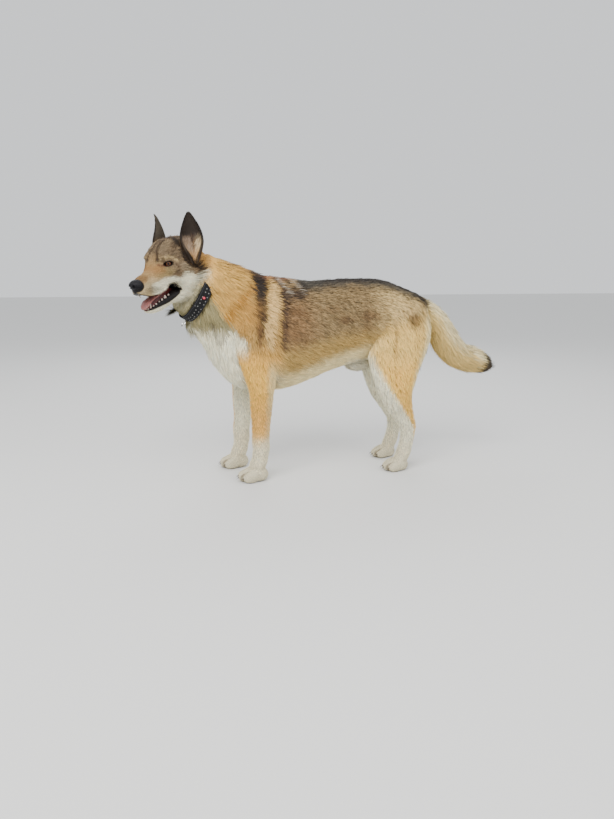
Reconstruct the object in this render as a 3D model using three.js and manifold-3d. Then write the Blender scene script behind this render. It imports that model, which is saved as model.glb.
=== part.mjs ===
// A wolf-grey domestic dog standing square on four feet, head turned to its left, mouth open.
// Life size in millimetres. +Z is up, -X is where the dog faces, and its left side is towards -Y.
// Every solid is the outer surface of the coat. The flesh is made whole and parted by thin cuts.
import * as THREE from "three";
import { mergeVertices } from "three/addons/utils/BufferGeometryUtils.js";
import Module from "manifold-3d";

const wasm = await Module();
wasm.setup();

// ---- Driving sizes ----
const WITHERS = 676; // height over the shoulder blades, coat included
const CUT = 0.3; // gap between neighbouring solids
const SLIVER = 0.05; // detail finer than this is dropped
const HEAD_YAW = THREE.MathUtils.degToRad(45); // turned towards the dog's left
const HEAD_PITCH = THREE.MathUtils.degToRad(13); // nose carried low
const NOSE = new THREE.Vector3(-561, -136, 643); // tip of the nose
const FAR = 4000; // larger than the dog, for half-spaces

// ---- Materials ----
function coat(colour) {
  return new THREE.MeshStandardMaterial({ color: colour, roughness: 0.95, metalness: 0 });
}
const TAN = coat(0xb08a5e);
const GREY = coat(0x8a7660);
const CREAM = coat(0xd9cfbc);
const SMOKE = coat(0x4a4038);
const NOSE_LEATHER = new THREE.MeshStandardMaterial({ color: 0x1c1a1c, roughness: 0.45 });
const TONGUE = new THREE.MeshStandardMaterial({ color: 0xc97a7c, roughness: 0.4 });
const AMBER = new THREE.MeshStandardMaterial({ color: 0x6b3a12, roughness: 0.1 });
const WEBBING = new THREE.MeshStandardMaterial({ color: 0x15151a, roughness: 0.8 });
const PLASTIC = new THREE.MeshStandardMaterial({ color: 0x101012, roughness: 0.4 });
const STEEL = new THREE.MeshStandardMaterial({ color: 0xb9bcbd, roughness: 0.3, metalness: 1 });
const RED = new THREE.MeshStandardMaterial({ color: 0xc0262c, roughness: 0.5 });

// ---- Curves and solids ----

// A smooth curve through [place, value] pairs that never overshoots them.
function curve(pairs) {
  const n = pairs.length;
  const run = pairs.slice(1).map((p, i) => p[0] - pairs[i][0]);
  const rise = pairs.slice(1).map((p, i) => (p[1] - pairs[i][1]) / run[i]);
  const slope = pairs.map((_, i) => {
    if (i === 0) return rise[0];
    if (i === n - 1) return rise[n - 2];
    if (rise[i - 1] * rise[i] <= 0) return 0;
    const before = 2 * run[i] + run[i - 1];
    const after = run[i] + 2 * run[i - 1];
    return (before + after) / (before / rise[i - 1] + after / rise[i]);
  });
  return (place) => {
    const at = Math.min(Math.max(place, pairs[0][0]), pairs[n - 1][0]);
    let i = 0;
    while (i < n - 2 && at > pairs[i + 1][0]) i += 1;
    const t = (at - pairs[i][0]) / run[i];
    const back = 1 - t;
    return (
      pairs[i][1] * (1 + 2 * t) * back * back +
      pairs[i + 1][1] * t * t * (3 - 2 * t) +
      run[i] * (slope[i] * t * back * back - slope[i + 1] * t * t * back)
    );
  };
}

// The places from start to end in equal steps.
function steps(start, end, count) {
  return Array.from({ length: count + 1 }, (_, i) => start + ((end - start) * i) / count);
}

// A power that keeps the sign, for rounded-square sections.
function bulge(value, power) {
  return Math.sign(value) * Math.abs(value) ** power;
}

// A closed solid through rings of points. All rings run the same way round.
function loft(rings) {
  const sides = rings[0].length;
  const points = rings.flat();
  const faces = [];
  for (let i = 0; i < rings.length - 1; i += 1) {
    for (let k = 0; k < sides; k += 1) {
      const a = i * sides + k;
      const b = i * sides + ((k + 1) % sides);
      faces.push(a, b, b + sides, a, b + sides, a + sides);
    }
  }
  const ends = [rings[0], rings[rings.length - 1]];
  ends.forEach((ring, end) => {
    const middle = ring.reduce((sum, p) => sum.add(p), new THREE.Vector3()).divideScalar(sides);
    points.push(middle);
    const centre = points.length - 1;
    const first = end * (rings.length - 1) * sides;
    for (let k = 0; k < sides; k += 1) {
      const a = first + k;
      const b = first + ((k + 1) % sides);
      faces.push(...(end ? [a, b, centre] : [b, a, centre]));
    }
  });
  const made = solid(new THREE.BufferGeometry().setFromPoints(points).setIndex(faces));
  return made.volume() < 0 ? solid(flipped(points, faces)) : made;
}

function flipped(points, faces) {
  const turned = [];
  for (let i = 0; i < faces.length; i += 3) turned.push(faces[i], faces[i + 2], faces[i + 1]);
  return new THREE.BufferGeometry().setFromPoints(points).setIndex(turned);
}

// A three.js geometry as a solid that can be joined and cut.
function solid(geometry, matrix = new THREE.Matrix4()) {
  const bare = geometry.clone().applyMatrix4(matrix);
  bare.deleteAttribute("normal");
  bare.deleteAttribute("uv");
  const merged = mergeVertices(bare, 1e-3);
  return new wasm.Manifold(
    new wasm.Mesh({
      numProp: 3,
      vertProperties: merged.attributes.position.array,
      triVerts: new Uint32Array(merged.index.array),
    }),
  );
}

function join(solids) {
  return solids.reduce((whole, next) => whole.add(next));
}

// Everything on the far side of a plane, as a very large box.
function halfSpace(point, normal, offset = 0) {
  const away = normal.clone().normalize();
  const turn = new THREE.Quaternion().setFromUnitVectors(new THREE.Vector3(0, 0, 1), away);
  const centre = point.clone().addScaledVector(away, FAR / 2 + offset);
  const matrix = new THREE.Matrix4().compose(centre, turn, new THREE.Vector3(1, 1, 1));
  return solid(new THREE.BoxGeometry(FAR, FAR, FAR), matrix);
}

// A box from its lowest to its highest corner, grown by a margin.
function block(low, high, margin = 0) {
  const size = high.map((h, i) => h - low[i] + 2 * margin);
  const centre = high.map((h, i) => (h + low[i]) / 2);
  return solid(new THREE.BoxGeometry(...size), new THREE.Matrix4().setPosition(...centre));
}

function ellipsoid(centre, radii, wide = 14, high = 10, turn = new THREE.Euler()) {
  const matrix = new THREE.Matrix4().compose(
    centre,
    new THREE.Quaternion().setFromEuler(turn),
    new THREE.Vector3(...radii),
  );
  return solid(new THREE.SphereGeometry(1, wide, high), matrix);
}

// A solid as a named mesh, without the slivers that joins and cuts leave.
function mesh(name, shape, material) {
  const { vertProperties, triVerts } = shape.simplify(SLIVER).getMesh();
  const geometry = new THREE.BufferGeometry();
  geometry.setAttribute("position", new THREE.BufferAttribute(vertProperties, 3));
  geometry.setIndex(new THREE.BufferAttribute(triVerts, 1));
  geometry.computeVertexNormals();
  const made = new THREE.Mesh(geometry, material);
  made.name = name;
  return made;
}

const dog = new THREE.Group();

// ---- Trunk and neck: upright slices from the rump to the throat ----
const TORSO_SIDES = 20;
const topLine = curve([
  [-430, 735], [-380, 752], [-335, 747], [-290, 731], [-248, 716], [-207, 697], [-165, 680],
  [-114, WITHERS - 2], [-60, 668], [0, 661], [70, 664], [150, 668], [225, 668], [270, 661],
  [320, 644], [370, 624], [405, 607], [428, 580],
]);
const underLine = curve([
  [-430, 560], [-411, 527], [-374, 492], [-342, 458], [-317, 424], [-297, 378], [-276, 345],
  [-238, 316], [-180, 300], [-119, 295], [-65, 304], [0, 326], [60, 350], [136, 372],
  [200, 384], [270, 402], [330, 422], [380, 448], [410, 480], [428, 520],
]);
const halfWidth = curve([
  [-430, 60], [-390, 78], [-350, 90], [-310, 97], [-270, 104], [-230, 114], [-180, 125],
  [-110, 131], [-30, 134], [50, 130], [120, 118], [180, 108], [240, 106], [300, 108],
  [350, 100], [390, 82], [415, 62], [428, 38],
]);
const lean = curve([[-430, 0.42], [-350, 0.3], [-260, 0.14], [-160, 0]]); // the neck bends left
const swing = curve([[-430, 16], [-390, 11], [-340, 3], [-290, 0]]); // and its root of the head right
const widestShare = curve([[-430, 0.5], [-330, 0.5], [-220, 0.46], [-60, 0.48], [120, 0.52], [428, 0.56]]);

function torsoRing(x) {
  const top = topLine(x);
  const under = underLine(x);
  const middle = under + (top - under) * widestShare(x);
  return Array.from({ length: TORSO_SIDES }, (_, k) => {
    const turn = (2 * Math.PI * k) / TORSO_SIDES;
    const across = bulge(Math.cos(turn), 0.92) * halfWidth(x);
    const reach = Math.sin(turn) > 0 ? top - middle : middle - under;
    const z = middle + bulge(Math.sin(turn), 0.95) * reach;
    return new THREE.Vector3(x - across * lean(x), across + swing(x), z);
  });
}

const torso = loft([
  ...steps(-430, -290, 6),
  ...steps(-262, 338, 12),
  ...steps(362, 428, 3),
].map(torsoRing));

// ---- Sheath: a short furred swelling under the belly ----
const sheath = ellipsoid(new THREE.Vector3(180, 0, 378), [52, 24, 26], 10, 6);

// ---- Legs: oval rings along a bent path ----
const LEG_SIDES = 12;

// stations: [x, y, z, fore-and-aft radius, sideways radius], from the top down.
function limb(stations, side, margin = 0) {
  const centres = stations.map(([x, y, z]) => new THREE.Vector3(x, side * y, z));
  centres[0].z += margin;
  return loft(
    stations.map(([, , , along, across], i) => {
      const before = centres[Math.max(i - 1, 0)];
      const after = centres[Math.min(i + 1, centres.length - 1)];
      const down = after.clone().sub(before).setY(0).normalize();
      const fore = new THREE.Vector3(down.z, 0, -down.x);
      return Array.from({ length: LEG_SIDES }, (_, k) => {
        const turn = (2 * Math.PI * k) / LEG_SIDES;
        return centres[i]
          .clone()
          .addScaledVector(fore, Math.cos(turn) * (along + margin))
          .add(new THREE.Vector3(0, Math.sin(turn) * (across + margin), 0));
      });
    }),
  );
}

const LEFT = -1;
const RIGHT = 1;
const FOREPAW_LEFT_X = -186;
const FORE_STRIDE = 46; // how far the right forepaw stands ahead of the left one
const HINDPAW_X = 322;
const HIND_STRIDE = -15;

// The upper arm, forearm and pastern. ahead moves the foot forward of the elbow.
function forelegStations(ahead) {
  return [
    [-172, 78, 560, 52, 34],
    [-180, 82, 510, 76, 46],
    [-184, 86, 455, 78, 50],
    [-181 - 0.35 * ahead, 88, 400, 62, 46],
    [-177 - 0.6 * ahead, 88, 350, 50, 41],
    [-175 - 0.8 * ahead, 87, 300, 40, 36],
    [-176 - 0.88 * ahead, 85, 240, 35.5, 31],
    [-177 - 0.9 * ahead, 83, 180, 31, 29],
    [-178 - ahead, 82, 135, 30, 30.5],
    [-177 - ahead, 82, 110, 29.5, 31],
    [-181 - ahead, 82, 80, 27, 29],
    [-190 - ahead, 82, 50, 30, 32],
    [-197 - ahead, 82, 24, 33, 32],
  ];
}

function hindlegStations(ahead) {
  return [
    [318, 62, 610, 46, 28],
    [322, 68, 570, 74, 42],
    [318, 72, 515, 95, 50],
    [304 - 0.3 * ahead, 76, 455, 106, 52],
    [293 - 0.9 * ahead, 82, 400, 98, 51],
    [289 - 1.2 * ahead, 87, 350, 82, 48],
    [290 - 1.2 * ahead, 89, 305, 67, 42],
    [300 - ahead, 88, 255, 52, 35],
    [317 - ahead, 86, 215, 41, 29],
    [334 - ahead, 85, 180, 34, 26],
    [345 - ahead, 84, 150, 30, 26],
    [344 - ahead, 84, 120, 26, 25],
    [338 - ahead, 84, 85, 25, 26],
    [327 - ahead, 84, 50, 27, 29],
    [316 - ahead, 84, 24, 30, 30],
  ];
}

// ---- Paws: a heel pad, four toes and their claws, cut flat underneath ----
const TOE_COUNT = 4;
const PAW_Y = 83; // from the middle of the dog
const PAW_CUT = 74; // where the paw is parted from the leg
const forepaw = { long: 108, wide: 74, high: 46 };
const hindpaw = { long: 98, wide: 66, high: 42 };

function claw(root) {
  const down = new THREE.Euler(0, THREE.MathUtils.degToRad(-112), 0);
  const matrix = new THREE.Matrix4().compose(
    root,
    new THREE.Quaternion().setFromEuler(down),
    new THREE.Vector3(1, 1, 1),
  );
  return solid(new THREE.ConeGeometry(3.8, 17, 3).rotateX(Math.PI / 2), matrix);
}

// x and y are the middle of the pastern's lower end.
function paw({ long, wide, high }, x, y) {
  const heel = new THREE.Vector3(x - 6, y, high * 0.46);
  const pieces = [ellipsoid(heel, [long * 0.36, wide * 0.46, high * 0.62], 8, 6)];
  for (let i = 0; i < TOE_COUNT; i += 1) {
    const spread = i / ((TOE_COUNT - 1) / 2) - 1;
    const reach = Math.abs(spread) < 0.5 ? 0.42 : 0.29;
    const toe = new THREE.Vector3(x - long * reach, y + spread * wide * 0.36, high * 0.37);
    const fan = new THREE.Euler(0, 0, spread * -0.16);
    pieces.push(ellipsoid(toe, [long * 0.24, wide * 0.175, high * 0.44], 6, 4, fan));
    pieces.push(claw(toe.clone().add(new THREE.Vector3(-long * 0.235, spread * 2, -high * 0.1))));
  }
  return join(pieces);
}

// ---- Tail: round rings along a curve that hangs, then lifts behind ----
const TAIL_SIDES = 14;
const tailPath = new THREE.CatmullRomCurve3([
  new THREE.Vector3(372, 0, 590),
  new THREE.Vector3(424, 0, 566),
  new THREE.Vector3(476, 2, 513),
  new THREE.Vector3(517, 6, 446),
  new THREE.Vector3(564, 12, 399),
  new THREE.Vector3(623, 18, 376),
  new THREE.Vector3(700, 22, 350),
]);
const tailThickness = curve([
  [0, 22], [0.12, 36], [0.28, 48], [0.45, 54], [0.62, 54], [0.76, 51], [0.87, 42], [0.95, 26], [1, 5],
]);

function tailRing(share) {
  const centre = tailPath.getPointAt(share);
  const along = tailPath.getTangentAt(share);
  const side = new THREE.Vector3(0, 1, 0).addScaledVector(along, -along.y).normalize();
  const lift = side.clone().cross(along).normalize();
  const radius = tailThickness(share);
  return Array.from({ length: TAIL_SIDES }, (_, k) => {
    const turn = (2 * Math.PI * k) / TAIL_SIDES;
    return centre
      .clone()
      .addScaledVector(side, Math.cos(turn) * radius * 0.9)
      .addScaledVector(lift, Math.sin(turn) * radius);
  });
}

const tail = loft([...steps(0, 0.84, 12), ...steps(0.89, 1, 3)].map(tailRing));

// ---- Head ----
// In the head's own frame +X runs back from the nose tip, -Y is the dog's left and +Z is up.
const headFrame = new THREE.Matrix4()
  .makeTranslation(NOSE)
  .multiply(new THREE.Matrix4().makeRotationZ(HEAD_YAW))
  .multiply(new THREE.Matrix4().makeRotationY(-HEAD_PITCH));

const HEAD_SIDES = 20;
const crown = curve([
  [6, 8], [14, 14], [30, 19], [45, 23], [65, 27], [82, 35], [92, 44], [101, 58], [112, 76],
  [126, 92], [143, 103], [168, 111], [200, 113], [228, 108], [250, 96], [268, 78],
]);
const lipLine = curve([
  [6, -18], [14, -26], [25, -32], [45, -39], [70, -40], [98, -32], [116, -25], [140, -25],
  [152, -36], [162, -62], [178, -82], [205, -97], [235, -102], [268, -90],
]);
const headWidth = curve([
  [6, 14], [14, 21], [24, 26], [40, 30], [65, 33], [84, 37], [98, 44], [112, 51], [128, 58],
  [146, 67], [168, 78], [190, 85], [214, 88], [240, 85], [268, 70],
]);
const widestHeight = curve([[6, -4], [60, -10], [100, 2], [130, 16], [170, 8], [268, 0]]);
const roundness = curve([[6, 1], [60, 0.8], [100, 0.78], [140, 0.84], [200, 0.92], [268, 1]]);

function headRing(x) {
  const middle = widestHeight(x);
  return Array.from({ length: HEAD_SIDES }, (_, k) => {
    const turn = (2 * Math.PI * k) / HEAD_SIDES;
    const power = roundness(x);
    const reach = Math.sin(turn) > 0 ? crown(x) - middle : middle - lipLine(x);
    return new THREE.Vector3(
      x,
      bulge(Math.cos(turn), power) * headWidth(x),
      middle + bulge(Math.sin(turn), power) * reach,
    );
  });
}

const skull = loft(
  [6, 14, 25, 42, 62, 82, 95, 107, 119, 132, 146, 162, 182, 205, 230, 252, 268].map(
    headRing,
  ),
);

// ---- Lower jaw, hanging open ----
const jawUnder = curve([[34, -84], [42, -91], [58, -95], [80, -94], [100, -89], [130, -83], [200, -88]]);
const jawUpper = curve([
  [34, -78], [41, -74], [52, -70], [68, -61], [88, -54], [112, -46], [134, -37], [200, -30],
]);
const jawWidth = curve([[34, 10], [41, 17], [56, 23], [85, 30], [115, 40], [150, 55], [200, 60]]);

function jawRing(x) {
  const middle = (jawUnder(x) + jawUpper(x)) / 2;
  const reach = (jawUpper(x) - jawUnder(x)) / 2;
  return Array.from({ length: 14 }, (_, k) => {
    const turn = (2 * Math.PI * k) / 14;
    return new THREE.Vector3(
      x,
      bulge(Math.cos(turn), 0.85) * jawWidth(x),
      middle + bulge(Math.sin(turn), 0.75) * reach,
    );
  });
}

const jaw = loft([34, 38, 44, 56, 70, 88, 106, 125, 146, 170, 200].map(jawRing));

// ---- Teeth, joined to the jaw that they grow from ----
function tooth(x, y, root, length, radius, up) {
  const cone = new THREE.ConeGeometry(radius, length, 5).rotateX((up * Math.PI) / 2);
  return solid(cone, new THREE.Matrix4().setPosition(x, y, root + up * (length / 2 - 4)));
}

function upperTeeth(side) {
  return [
    tooth(20, side * 6, -27, 12, 3, -1),
    tooth(34, side * 19, -31, 26, 4.2, -1),
    tooth(62, side * 24, -35, 16, 5.5, -1),
    tooth(86, side * 27, -32, 18, 6.5, -1),
  ];
}

function lowerTeeth(side) {
  return [
    tooth(44, side * 13, -72, 21, 3.8, 1),
    tooth(76, side * 21, -60, 12, 4.5, 1),
    tooth(97, side * 26, -53, 14, 6, 1),
  ];
}

// The jaw's share of the head: under a plane that rises from the chin to the mouth's corner.
function jawRegion(margin) {
  const rise = Math.atan2(0.2, 1);
  const box = block([-150, -64, -80], [0, 64, 0], margin);
  const matrix = new THREE.Matrix4()
    .makeTranslation(148, 0, -35)
    .multiply(new THREE.Matrix4().makeRotationY(-rise));
  return box.transform(matrix.elements);
}

// ---- Tongue, lying in the lower jaw and over its front edge ----
const tongueMiddle = curve([[27, -73], [35, -67], [46, -60], [62, -53], [90, -46], [126, -37]]);
const tongueWidth = curve([[27, 12], [34, 17], [46, 19], [62, 17], [90, 19], [126, 18]]);

function tongue(margin = 0) {
  const ring = (x) =>
    Array.from({ length: 10 }, (_, k) => {
      const turn = (2 * Math.PI * k) / 10;
      const across = bulge(Math.cos(turn), 0.8) * (tongueWidth(x) + margin);
      const lift = bulge(Math.sin(turn), 0.8) * (5.5 + margin);
      return new THREE.Vector3(x, across, tongueMiddle(x) + lift);
    });
  return loft([27 - margin, 30, 36, 45, 58, 74, 94, 110, 126 + margin].map(ring));
}

// ---- Ears: an upright cup, open to the front and outwards ----
const EAR_HEIGHT = 125;
const EAR_STEPS = 7;
const earRadius = curve([[0, 25], [0.14, 31], [0.3, 36], [0.45, 35], [0.65, 28.5], [0.8, 20.5], [0.92, 13], [1, 6]]);
const earWrap = curve([[0, 110], [0.4, 99], [0.75, 80], [1, 68]]); // degrees each way from the back
const earWall = curve([[0, 10], [0.5, 6], [1, 2.6]]);

// A frame whose +Z is up and whose +X is nearest to the wanted direction.
function frameAt(origin, up, towards) {
  const rise = up.clone().normalize();
  const along = towards.clone().addScaledVector(rise, -towards.dot(rise)).normalize();
  const across = new THREE.Vector3().crossVectors(rise, along);
  return new THREE.Matrix4().makeBasis(along, across, rise).setPosition(origin);
}

// The ear stands along its frame's +Z, and +X is the middle of its back.
function earShape(side) {
  const up = new THREE.Vector3(0.16, side * -0.07, 0.98);
  const back = new THREE.Vector3(0.72, side * -0.69, 0);
  const frame = frameAt(new THREE.Vector3(200, side * 83, 55), up, back);
  const ring = (share) => {
    const wrap = THREE.MathUtils.degToRad(earWrap(share));
    const radius = earRadius(share);
    const place = (angle, r) =>
      new THREE.Vector3(Math.cos(angle) * r, Math.sin(angle) * r, share * EAR_HEIGHT);
    const outer = steps(-wrap, wrap, EAR_STEPS);
    const inner = outer.slice().reverse();
    const hollow = Math.max(radius - earWall(share), 0.8);
    return [...outer.map((a) => place(a, radius)), ...inner.map((a) => place(a, hollow))];
  };
  return loft([0, 0.22, 0.42, 0.6, 0.75, 0.87, 0.95, 1].map(ring)).transform(
    frame.elements,
  );
}

// The ear is parted from the head by a plane that falls outwards.
function earRegion(side, margin) {
  const up = new THREE.Vector3(0, side * 0.46, 0.89);
  const frame = frameAt(new THREE.Vector3(200, side * 80, 92), up, new THREE.Vector3(1, 0, 0));
  return block([-60, -60, 0], [60, 60, EAR_HEIGHT], margin).transform(frame.elements);
}

// ---- Eyes and nose ----
const EYE_RADIUS = 12;

function eyeball(side, margin = 0) {
  const radius = EYE_RADIUS + margin;
  return ellipsoid(new THREE.Vector3(130, side * 37, 40), [radius, radius, radius], 12, 7);
}

// The gap between the lids, cut in front of the eye.
function eyeOpening(side) {
  const turn = new THREE.Euler(0, 0.1, side * -0.7);
  return ellipsoid(new THREE.Vector3(114, side * 50, 41), [14, 13, 8], 10, 6, turn);
}

function nosePad(margin = 0) {
  const blob = (x, z, radii, wide, high) =>
    ellipsoid(new THREE.Vector3(x, 0, z), radii.map((r) => r + margin), wide, high);
  return join([
    blob(12, 1, [13, 17, 13], 10, 7),
    blob(23, 8, [14, 15, 9], 8, 6),
    blob(12, -13, [8, 6, 10], 6, 5),
  ]);
}

function nostril(side) {
  return ellipsoid(new THREE.Vector3(0, side * 8.5, 0), [7, 3.2, 3.6], 7, 4);
}

// ---- Collar round the upper neck ----
const COLLAR_CENTRE = new THREE.Vector3(-362, -6, 629);
const COLLAR_YAW = THREE.MathUtils.degToRad(16); // its front is turned to the dog's left
const COLLAR_SIDEWAYS = new THREE.Vector3(-Math.sin(COLLAR_YAW), Math.cos(COLLAR_YAW), 0);
const COLLAR_UP = new THREE.Vector3(0.433, 0.124, 0.893).normalize();
const COLLAR_NORMAL = COLLAR_UP.clone().cross(COLLAR_SIDEWAYS).normalize();
const COLLAR_HIGH = 101; // half height in its own plane
const COLLAR_WIDE = 82; // half width
const COLLAR_BAND = 34;
const COLLAR_THICK = 4;
const COLLAR_SIDES = 24;
const RING_RADIUS = 12;
const RING_WIRE = 1.9;

function collarPoint(turn, out, along) {
  return COLLAR_CENTRE.clone()
    .addScaledVector(COLLAR_UP, Math.sin(turn) * (COLLAR_HIGH + out))
    .addScaledVector(COLLAR_NORMAL, along)
    .addScaledVector(COLLAR_SIDEWAYS, Math.cos(turn) * (COLLAR_WIDE + out));
}

function collarDisc(out, band) {
  const ring = (along) =>
    Array.from({ length: COLLAR_SIDES }, (_, k) =>
      collarPoint((2 * Math.PI * k) / COLLAR_SIDES, out, along),
    );
  return loft([ring(-band / 2), ring(band / 2)]);
}

// A slab of the neck outside the collar's inner face, which makes room for the collar.
const collarGroove = collarDisc(60, COLLAR_BAND + 2 * CUT).subtract(
  collarDisc(-CUT, COLLAR_BAND + 10),
);

// Position and turn of a fitting on the collar's outer face. Its local +Z points outwards.
function onCollar(turn, out) {
  const outward = COLLAR_SIDEWAYS.clone().multiplyScalar(Math.cos(turn) / COLLAR_WIDE);
  outward.addScaledVector(COLLAR_UP, Math.sin(turn) / COLLAR_HIGH).normalize();
  const across = new THREE.Vector3().crossVectors(COLLAR_NORMAL, outward);
  return new THREE.Matrix4()
    .makeBasis(across, COLLAR_NORMAL, outward)
    .setPosition(collarPoint(turn, out, 0));
}

const bottom = onCollar(-Math.PI / 2, COLLAR_THICK);
const side = onCollar(Math.PI + 0.22, COLLAR_THICK);
const clasp = onCollar(Math.PI - 0.75, COLLAR_THICK);

function collarRing(wire) {
  const hang = bottom
    .clone()
    .multiply(new THREE.Matrix4().makeTranslation(0, 0, RING_RADIUS - 1))
    .multiply(new THREE.Matrix4().makeRotationX(Math.PI / 2));
  return solid(new THREE.TorusGeometry(RING_RADIUS, wire, 6, 18), hang);
}

const ringTab = solid(new THREE.BoxGeometry(14, 20, 8), bottom);
const band = join([collarDisc(COLLAR_THICK, COLLAR_BAND), ringTab])
  .subtract(collarDisc(0, COLLAR_BAND + 10))
  .subtract(collarRing(RING_WIRE + CUT));

// ---- Parting the flesh ----
const HEAD_CUT = new THREE.Vector3(-0.974, 0, 0.226); // in the head's frame
const NECK_CUT = new THREE.Vector3(-0.852, 0, 0.525);
const TAIL_CUT = new THREE.Vector3(1, 0, 0);
const inHeadFrame = (shape) => shape.transform(headFrame.elements);
const sides = [
  { word: "left", side: LEFT, forepawX: FOREPAW_LEFT_X, foreAhead: 0, hindAhead: 0 },
  {
    word: "right",
    side: RIGHT,
    forepawX: FOREPAW_LEFT_X - FORE_STRIDE,
    foreAhead: FORE_STRIDE,
    hindAhead: HIND_STRIDE,
  },
];
const forePaws = sides.map((s) => paw(forepaw, s.forepawX, s.side * PAW_Y));
const hindPaws = sides.map((s) => paw(hindpaw, HINDPAW_X - s.hindAhead, s.side * PAW_Y));
const foreLegs = sides.map((s) => limb(forelegStations(s.foreAhead), s.side));
const hindLegs = sides.map((s) => limb(hindlegStations(s.hindAhead), s.side));
const ears = sides.map((s) => inHeadFrame(earShape(s.side)));
const headPieces = [
  skull,
  jaw,
  ...sides.flatMap((s) => [...upperTeeth(s.side), ...lowerTeeth(s.side)]),
].map(inHeadFrame);

let flesh = join([
  torso,
  sheath,
  tail,
  ...headPieces,
  ...ears,
  ...foreLegs,
  ...hindLegs,
  ...forePaws,
  ...hindPaws,
]).intersect(block([-FAR, -FAR, 0], [FAR, FAR, FAR]));

// Makes room in the flesh for what is set into it.
flesh = flesh.subtract(collarGroove);
flesh = flesh.subtract(inHeadFrame(nosePad(CUT)));
flesh = flesh.subtract(inHeadFrame(tongue(CUT)));
for (const s of sides) {
  flesh = flesh.subtract(inHeadFrame(eyeball(s.side, CUT)));
  flesh = flesh.subtract(inHeadFrame(eyeOpening(s.side)));
}

// The largest body of a solid, without crumbs that a cut leaves.
function largest(shape) {
  return shape.decompose().reduce((best, next) => (next.volume() > best.volume() ? next : best));
}

// Takes a region's share of the flesh as a node and leaves a thin cut behind it.
// region(margin) is the region's solid, grown by the margin.
function part(name, region, material) {
  dog.add(mesh(name, largest(flesh.intersect(region(0))), material));
  flesh = flesh.subtract(region(CUT));
}

for (const s of sides) {
  part(`ear_${s.word}`, (margin) => inHeadFrame(earRegion(s.side, margin)), SMOKE);
}
part("lower_jaw", (margin) => inHeadFrame(jawRegion(margin)), CREAM);
// The head ends behind the cheeks, and in any case at the collar's groove.
function headRegion(margin) {
  const behindCheeks = inHeadFrame(halfSpace(new THREE.Vector3(236, 0, 0), HEAD_CUT, -margin));
  const inGroove = COLLAR_BAND / 2 - 3;
  return behindCheeks.intersect(halfSpace(COLLAR_CENTRE, COLLAR_NORMAL, inGroove - margin));
}
part("head", headRegion, GREY);
part("neck", (margin) => halfSpace(new THREE.Vector3(-250, 0, 550), NECK_CUT, -margin), TAN);
part("tail", (margin) => halfSpace(new THREE.Vector3(430, 0, 0), TAIL_CUT, -margin), GREY);
sides.forEach((s) => {
  const near = s.side < 0 ? -FAR : 15;
  const far = s.side < 0 ? -15 : FAR;
  part(`forepaw_${s.word}`, (margin) => block([-FAR, near, -9], [0, far, PAW_CUT], margin), CREAM);
  part(`hindpaw_${s.word}`, (margin) => block([0, near, -9], [FAR, far, PAW_CUT], margin), CREAM);
  const fore = forelegStations(s.foreAhead).slice(2);
  const hind = hindlegStations(s.hindAhead).slice(2);
  part(`foreleg_${s.word}`, (margin) => limb(fore, s.side, margin), TAN);
  part(`hindleg_${s.word}`, (margin) => limb(hind, s.side, margin), TAN);
});
dog.add(mesh("trunk", largest(flesh), GREY));

// ---- What is set into the flesh ----
for (const s of sides) {
  dog.add(mesh(`eye_${s.word}`, inHeadFrame(eyeball(s.side)), AMBER));
}
const nose = nosePad().subtract(nostril(LEFT)).subtract(nostril(RIGHT));
dog.add(mesh("nose", inHeadFrame(nose), NOSE_LEATHER));
dog.add(mesh("tongue", inHeadFrame(tongue()), TONGUE));
dog.add(mesh("collar_band", band, WEBBING));
dog.add(mesh("collar_ring", collarRing(RING_WIRE), STEEL));
const stud = new THREE.CylinderGeometry(4, 4, 2, 12).rotateX(Math.PI / 2).translate(0, 0, 1 + CUT);
dog.add(mesh("collar_stud", solid(stud, side), RED));
const buckle = solid(new THREE.BoxGeometry(34, 26, 7).translate(0, 0, 3.5 + CUT), clasp);
dog.add(mesh("collar_buckle", buckle, PLASTIC));

// ---- The origin is the bottom centre of the whole dog ----
const bounds = new THREE.Box3().setFromObject(dog);
const middle = bounds.getCenter(new THREE.Vector3());
dog.position.set(-middle.x, -middle.y, -bounds.min.z);

export default dog;
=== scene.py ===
# A wolf-grey domestic dog, standing square, with its head turned to its left and its mouth open.
import bpy
import numpy as np
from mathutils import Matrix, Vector


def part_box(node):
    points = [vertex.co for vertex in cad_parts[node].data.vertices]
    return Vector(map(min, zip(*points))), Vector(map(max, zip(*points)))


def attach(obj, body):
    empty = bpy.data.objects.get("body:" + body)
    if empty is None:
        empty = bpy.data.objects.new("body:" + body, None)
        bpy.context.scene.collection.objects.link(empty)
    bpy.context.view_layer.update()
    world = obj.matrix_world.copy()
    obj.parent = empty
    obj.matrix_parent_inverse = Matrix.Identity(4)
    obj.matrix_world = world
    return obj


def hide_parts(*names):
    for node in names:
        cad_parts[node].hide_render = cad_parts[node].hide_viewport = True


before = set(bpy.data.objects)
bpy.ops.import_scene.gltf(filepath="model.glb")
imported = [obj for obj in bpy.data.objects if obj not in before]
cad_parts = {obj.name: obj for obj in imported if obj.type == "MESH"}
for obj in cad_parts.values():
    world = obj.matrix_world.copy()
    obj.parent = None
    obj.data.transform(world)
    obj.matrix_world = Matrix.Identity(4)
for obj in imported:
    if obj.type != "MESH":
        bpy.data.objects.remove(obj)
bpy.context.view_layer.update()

# ---- The dog's own frame ----
# Sizes below are in millimetres in the dog's frame: -X ahead, its left side towards -Y, +Z up.
# The head has a frame of its own, turned and tipped at the nose tip, where +X runs back.
norm = np.linalg.norm
HEAD_YAW = np.radians(45)
HEAD_PITCH = np.radians(13)
NOSE_TIP = np.array([-561.0, -136.0, 643.0])
EYE_PLACE = np.array([130.0, -37.0, 40.0])  # middle of the left eyeball, in the head's frame
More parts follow.
